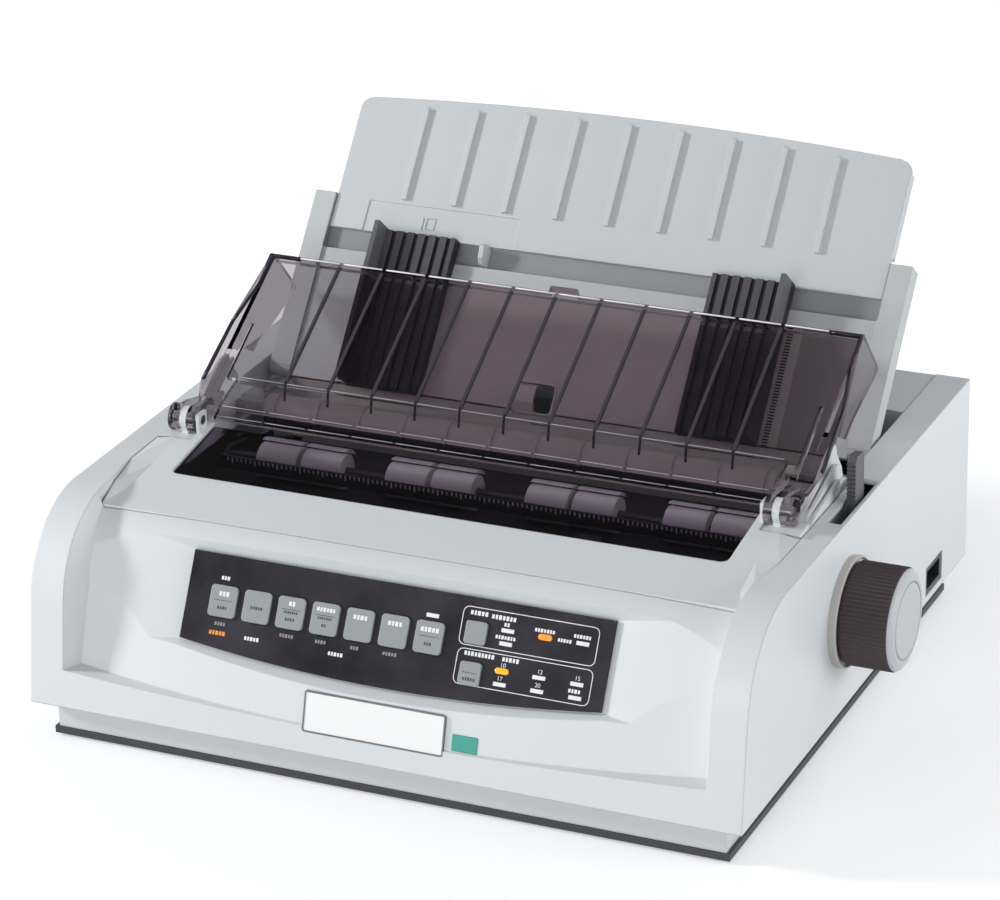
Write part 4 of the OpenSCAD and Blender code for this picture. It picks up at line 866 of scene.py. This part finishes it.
# %% Guide racks
RACK_EDGES, RACK_START, TEETH, TOOTH_STEP = (-125, 111.5), 0.2, 38, 1.6
form = bmesh.new()
for edge in RACK_EDGES:
    for k in range(TEETH):
        plate(form, edge, RACK_START + TOOTH_STEP * k, 3.0, 0.8, -1.82, -1.56, 0.15)
piece_from("guide_racks", form, fence_charcoal_and_painted_highlight, "guide", on_guide)
print("rack teeth:", TEETH * len(RACK_EDGES))

# %% [markdown]
# ## Bright and dark edges of the hood
#
# Where smoked acrylic is folded or ends, it gathers light along the edge into a fine bright line, and where
# it is seen through its own thickness it turns nearly black. Both are painted here as thin pieces: the bright
# lines are painted highlights and the dark ones painted shade. The bright lines come first: one along the
# lip, broken by the ribs, and three along the folds.

# %% Bright lines of the hood
HOOD_X, NOTCH, ARM_END, SHEET_LEN = 162, 45.5, 98, 81.3
RIB_PITCH, RIBS = 24.2, 11
rib_places = [(k - (RIBS - 1) / 2) * RIB_PITCH for k in range(RIBS)]
# painted highlights: pale rods along the lip and the folds
edge_painted_highlight = plastic("acrylic edge painted highlight", (0.80, 0.77, 0.83), 0.25, 1500, 0.005, edge=0.1)
fold_painted_highlight = plastic("acrylic fold painted highlight", (0.40, 0.36, 0.44), 0.25, 1500, 0.005, edge=0.1)
form = bmesh.new()
stops = [-HOOD_X + 16] + rib_places + [HOOD_X - 16]
for start, end in zip(stops, stops[1:]):
    if end - start > 4:
        rod(form, (start + 1.1, -0.9, 0.02), (end - 1.1, -0.9, 0.02), 0.45, 8)
piece_from("hood_lip_painted_highlight", form, edge_painted_highlight, "hood", on_hood, smooth=True)

form = bmesh.new()
stops = [-148] + rib_places + [148]
FOLDS = [(-6, 136.75), (-26.6, 129.05), (-31.6, 125.5)]  # the fold and two steps of the lower wall
for y, z in FOLDS:
    for start, end in zip(stops, stops[1:]):
        rod(form, (start + 0.9, y, z), (end - 0.9, y, z), 0.22, 8)
piece_from("hood_fold_painted_highlight", form, fold_painted_highlight, "hood", smooth=True)
print("bright lines:", 1 + len(FOLDS))

# %% [markdown]
# The dark lines are painted shade: the sheet's side edges, its two front corners and the ribs. Every rib is a
# thin bar of painted shade that ends in a short tail over the fold.

# %% Dark edges and ribs of the hood
MIDDLE = -1.2  # half way through the sheet
RIB_W, RIB_FOOT, RIB_TOP = 1.8, 0.1, 1.3
# painted shade: dark rods and bars along the edges and ribs
edge_painted_shade = plastic("acrylic edge painted shade", (0.014, 0.008, 0.020), 0.12, 1500, 0.005, edge=0.2)
form = bmesh.new()
for side in (-1, 1):
    route = [(HOOD_X - 0.6, -0.6), (HOOD_X - 0.4, -20), (HOOD_X + 4.1, -NOTCH), (HOOD_X + 5.0, -ARM_END + 14)]
    for start, end in zip(route, route[1:]):
        rod(form, (side * start[0], start[1], MIDDLE), (side * end[0], end[1], MIDDLE), 0.95)
    rod(form, (side * (HOOD_X - 1), -0.6, -1.4), (side * (HOOD_X - 17), -0.6, -1.4), 1.25)
    rod(form, (side * 154.4, -NOTCH, MIDDLE), (side * 154.4, -SHEET_LEN + 1, MIDDLE), 0.6)
piece_from("hood_edges_painted_shade", form, edge_painted_shade, "hood", on_hood, smooth=True)
form = bmesh.new()
for x in rib_places:
    plate(form, x, -SHEET_LEN / 2 - 1, RIB_W, SHEET_LEN - 4, RIB_FOOT, RIB_TOP, 0.3)
    rod(form, (x, -SHEET_LEN + 1, 0.9), (x, -SHEET_LEN - 5.5, -6.4), 0.7, 8)
piece_from("hood_ribs_painted_shade", form, edge_painted_shade, "hood", on_hood)
print("hood ribs:", RIBS)

# %% [markdown]
# ## Behind the window
#
# A scale with fine ticks runs along the bail, in front of its rollers, so the operator can find a
# column. It shows through the dark window as a row of pale dots. The ticks are a tenth of an inch
# apart, and every fifth is longer, so a loop draws them all.

# %% Bail scale
TENTH_INCH, SIDE_TICKS = 2.54, 56
SCALE_TOP = 6.6
on_scale = face((0, -31.42, 96.6), math.radians(90))
form = bmesh.new()
for k in range(-SIDE_TICKS, SIDE_TICKS + 1):
    tall = 3.0 if k % 5 == 0 else 2.0
    plate(form, k * TENTH_INCH, SCALE_TOP - tall / 2, 0.7, tall, -0.1, 0.12, 0.2)
piece_from("bail_scale", form, print_white, "bail", on_scale)
print("scale ticks:", 2 * SIDE_TICKS + 1)

# %% [markdown]
# ## The inlet and the screws
#
# The mains inlet on the right wall has three pins. Their place across is read from the inlet itself,
# so they stay in its middle wherever it is.

# %% Inlet pins
inlet_low, inlet_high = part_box("power_inlet")
inlet_y = (inlet_low.y + inlet_high.y) / 2 / MM
PIN_STEP, PIN_FOOT, PIN_TIP = 4.5, 170.2, 181
form = bmesh.new()
for y, z in ((inlet_y - PIN_STEP, 33.2), (inlet_y, 29.6), (inlet_y + PIN_STEP, 33.2)):
    rod(form, (PIN_FOOT, y, z), (PIN_TIP, y, z), 1.0)
piece_from("inlet_pins", form, turned_steel, "case", smooth=True)
print(f"pins at y = {inlet_y:.1f} mm")

# %% [markdown]
# Screws close the case at the back. Their heads are turned domes with a cross cut. Cutting the cross
# would take a boolean for each screw, and at this size a dark cross that sits in the head looks the same.

# %% Rear screws
HEAD = [(3.4, -0.2), (3.4, 0.3), (2.9, 0.9), (1.8, 1.3), (0.6, 1.4)]  # radius and height of each ring
SCREWS = [(-150, 40), (-150, 88), (-60, 76), (60, 76), (150, 40), (150, 88)]
rear_face = face((0, 165, 0), math.radians(-90))
heads, slots = bmesh.new(), bmesh.new()
for x, z in SCREWS:
    circles = [[(r * math.cos(math.tau * k / 24), r * math.sin(math.tau * k / 24)) for k in range(24)]
               for r, _ in HEAD]
    close_between(heads, [ring(heads, circle, x, -z, out) for circle, (_, out) in zip(circles, HEAD)])
    plate(slots, x, -z, 3.2, 0.6, 0.8, 1.5, 0.1)
    plate(slots, x, -z, 0.6, 3.2, 0.8, 1.52, 0.1)
piece_from("rear_screws", heads, turned_steel, "case", rear_face, smooth=True)
piece_from("rear_screw_slots", slots, socket_black, "case", rear_face)
print("rear screws:", len(SCREWS))

# %% [markdown]
# ## Studio
#
# The printer was photographed on white, with large soft lights. The floor is lifted to white by a
# glow that only the camera sees. More light would whiten it too, but it would bleach the printer as
# well. The glow is weaker close to the printer, so a soft shadow stays there.

# %% Floor
def seen_directly(nodes, links):
    """1 for what the camera sees, also by reflection or through a clear sheet, and 0 for light."""
    path = nodes.new("ShaderNodeLightPath")
    total = path.outputs["Is Camera Ray"]
    for ray in ("Is Glossy Ray", "Is Transmission Ray"):
        either = nodes.new("ShaderNodeMath")
        either.operation = "MAXIMUM"
        links.new(total, either.inputs[0])
        links.new(path.outputs[ray], either.inputs[1])
        total = either.outputs[0]
    return total


def studio_floor(near, far, glow_near, glow_far):
    """A wide white floor whose glow grows between two distances from the printer, in metres."""
    mesh = bpy.data.meshes.new("floor")
    form = bmesh.new()
    bmesh.ops.create_grid(form, x_segments=2, y_segments=2, size=6)
    form.to_mesh(mesh)
    form.free()
    floor = bpy.data.objects.new("floor", mesh)
    bpy.context.scene.collection.objects.link(floor)
    material = bpy.data.materials.new("studio floor")
    material.use_nodes = True
    nodes, links = material.node_tree.nodes, material.node_tree.links
    shader = nodes["Principled BSDF"]
    shader.inputs["Base Color"].default_value = (0.66, 0.67, 0.68, 1)
    shader.inputs["Roughness"].default_value = 0.9
    lift = nodes.new("ShaderNodeMath")
    lift.operation = "MULTIPLY"
    links.new(seen_directly(nodes, links), lift.inputs[0])
    spot = nodes.new("ShaderNodeTexCoord")
    reach = nodes.new("ShaderNodeVectorMath")
    reach.operation = "LENGTH"
    fade = nodes.new("ShaderNodeMapRange")
    fade.inputs["From Min"].default_value = near
    fade.inputs["From Max"].default_value = far
    fade.inputs["To Min"].default_value = glow_near
    fade.inputs["To Max"].default_value = glow_far
    links.new(spot.outputs["Object"], reach.inputs[0])
    links.new(reach.outputs["Value"], fade.inputs["Value"])
    links.new(fade.outputs["Result"], lift.inputs[1])
    shader.inputs["Emission Color"].default_value = (1, 1, 1, 1)
    links.new(lift.outputs[0], shader.inputs["Emission Strength"])
    mesh.materials.append(material)
    print("floor", tuple(round(v, 1) for v in floor.dimensions))


studio_floor(0.24, 0.42, 0.43, 0.60)

# %% [markdown]
# The light comes from a soft sky and four panels: a wide one on the right, a fill in front, a weak one
# behind, and a small one on the left, whose narrow shadows draw the ribs of the sheet guide. The sky
# is paler near the horizon than overhead, because the side walls of a light tent are brighter than
# its roof.

# %% Sky and lamps
def studio_sky(horizon, zenith):
    """A sky whose strength changes from the horizon up, and that the camera sees as plain white."""
    world = bpy.data.worlds.new("light tent")
    bpy.context.scene.world = world
    world.use_nodes = True
    nodes, links = world.node_tree.nodes, world.node_tree.links
    background = nodes["Background"]
    place = nodes.new("ShaderNodeTexCoord")
    split = nodes.new("ShaderNodeSeparateXYZ")
    height = nodes.new("ShaderNodeMapRange")
    height.inputs["To Min"].default_value = horizon
    height.inputs["To Max"].default_value = zenith
    either = nodes.new("ShaderNodeMix")
    links.new(place.outputs["Generated"], split.inputs[0])
    links.new(split.outputs["Z"], height.inputs["Value"])
    links.new(seen_directly(nodes, links), either.inputs["Factor"])
    links.new(height.outputs["Result"], either.inputs["A"])
    either.inputs["B"].default_value = 1
    links.new(either.outputs["Result"], background.inputs["Strength"])
    background.inputs["Color"].default_value = (0.97, 0.985, 1, 1)


def softbox(name, place, target, width, height, power):
    """A lit panel, in metres and watts, that is turned towards its target."""
    lamp = bpy.data.lights.new(name, "AREA")
    lamp.shape = "RECTANGLE"
    lamp.size = width
    lamp.size_y = height
    lamp.energy = power
    lamp_object = bpy.data.objects.new(name, lamp)
    lamp_object.location = place
    aim = Vector(target) - Vector(place)
    lamp_object.rotation_mode = "QUATERNION"
    lamp_object.rotation_quaternion = aim.to_track_quat("-Z", "Y")
    bpy.context.scene.collection.objects.link(lamp_object)
    print(f"{name}: {power} W over {width} x {height} m")


studio_sky(0.58, 0.20)
softbox("right box", (1.9, 0.25, 0.45), (0.1, 0, 0.08), 1.2, 0.8, 17)
softbox("left key", (-2.0, -0.75, 0.95), (0, 0.05, 0.14), 0.3, 0.3, 36)
softbox("front fill", (0.1, -2.1, 0.5), (0, 0, 0.08), 1.4, 0.8, 15)
softbox("rear box", (1.3, 1.4, 1.3), (0, 0.1, 0.1), 1.2, 0.8, 4)
bpy.context.scene.view_settings.view_transform = "Standard"
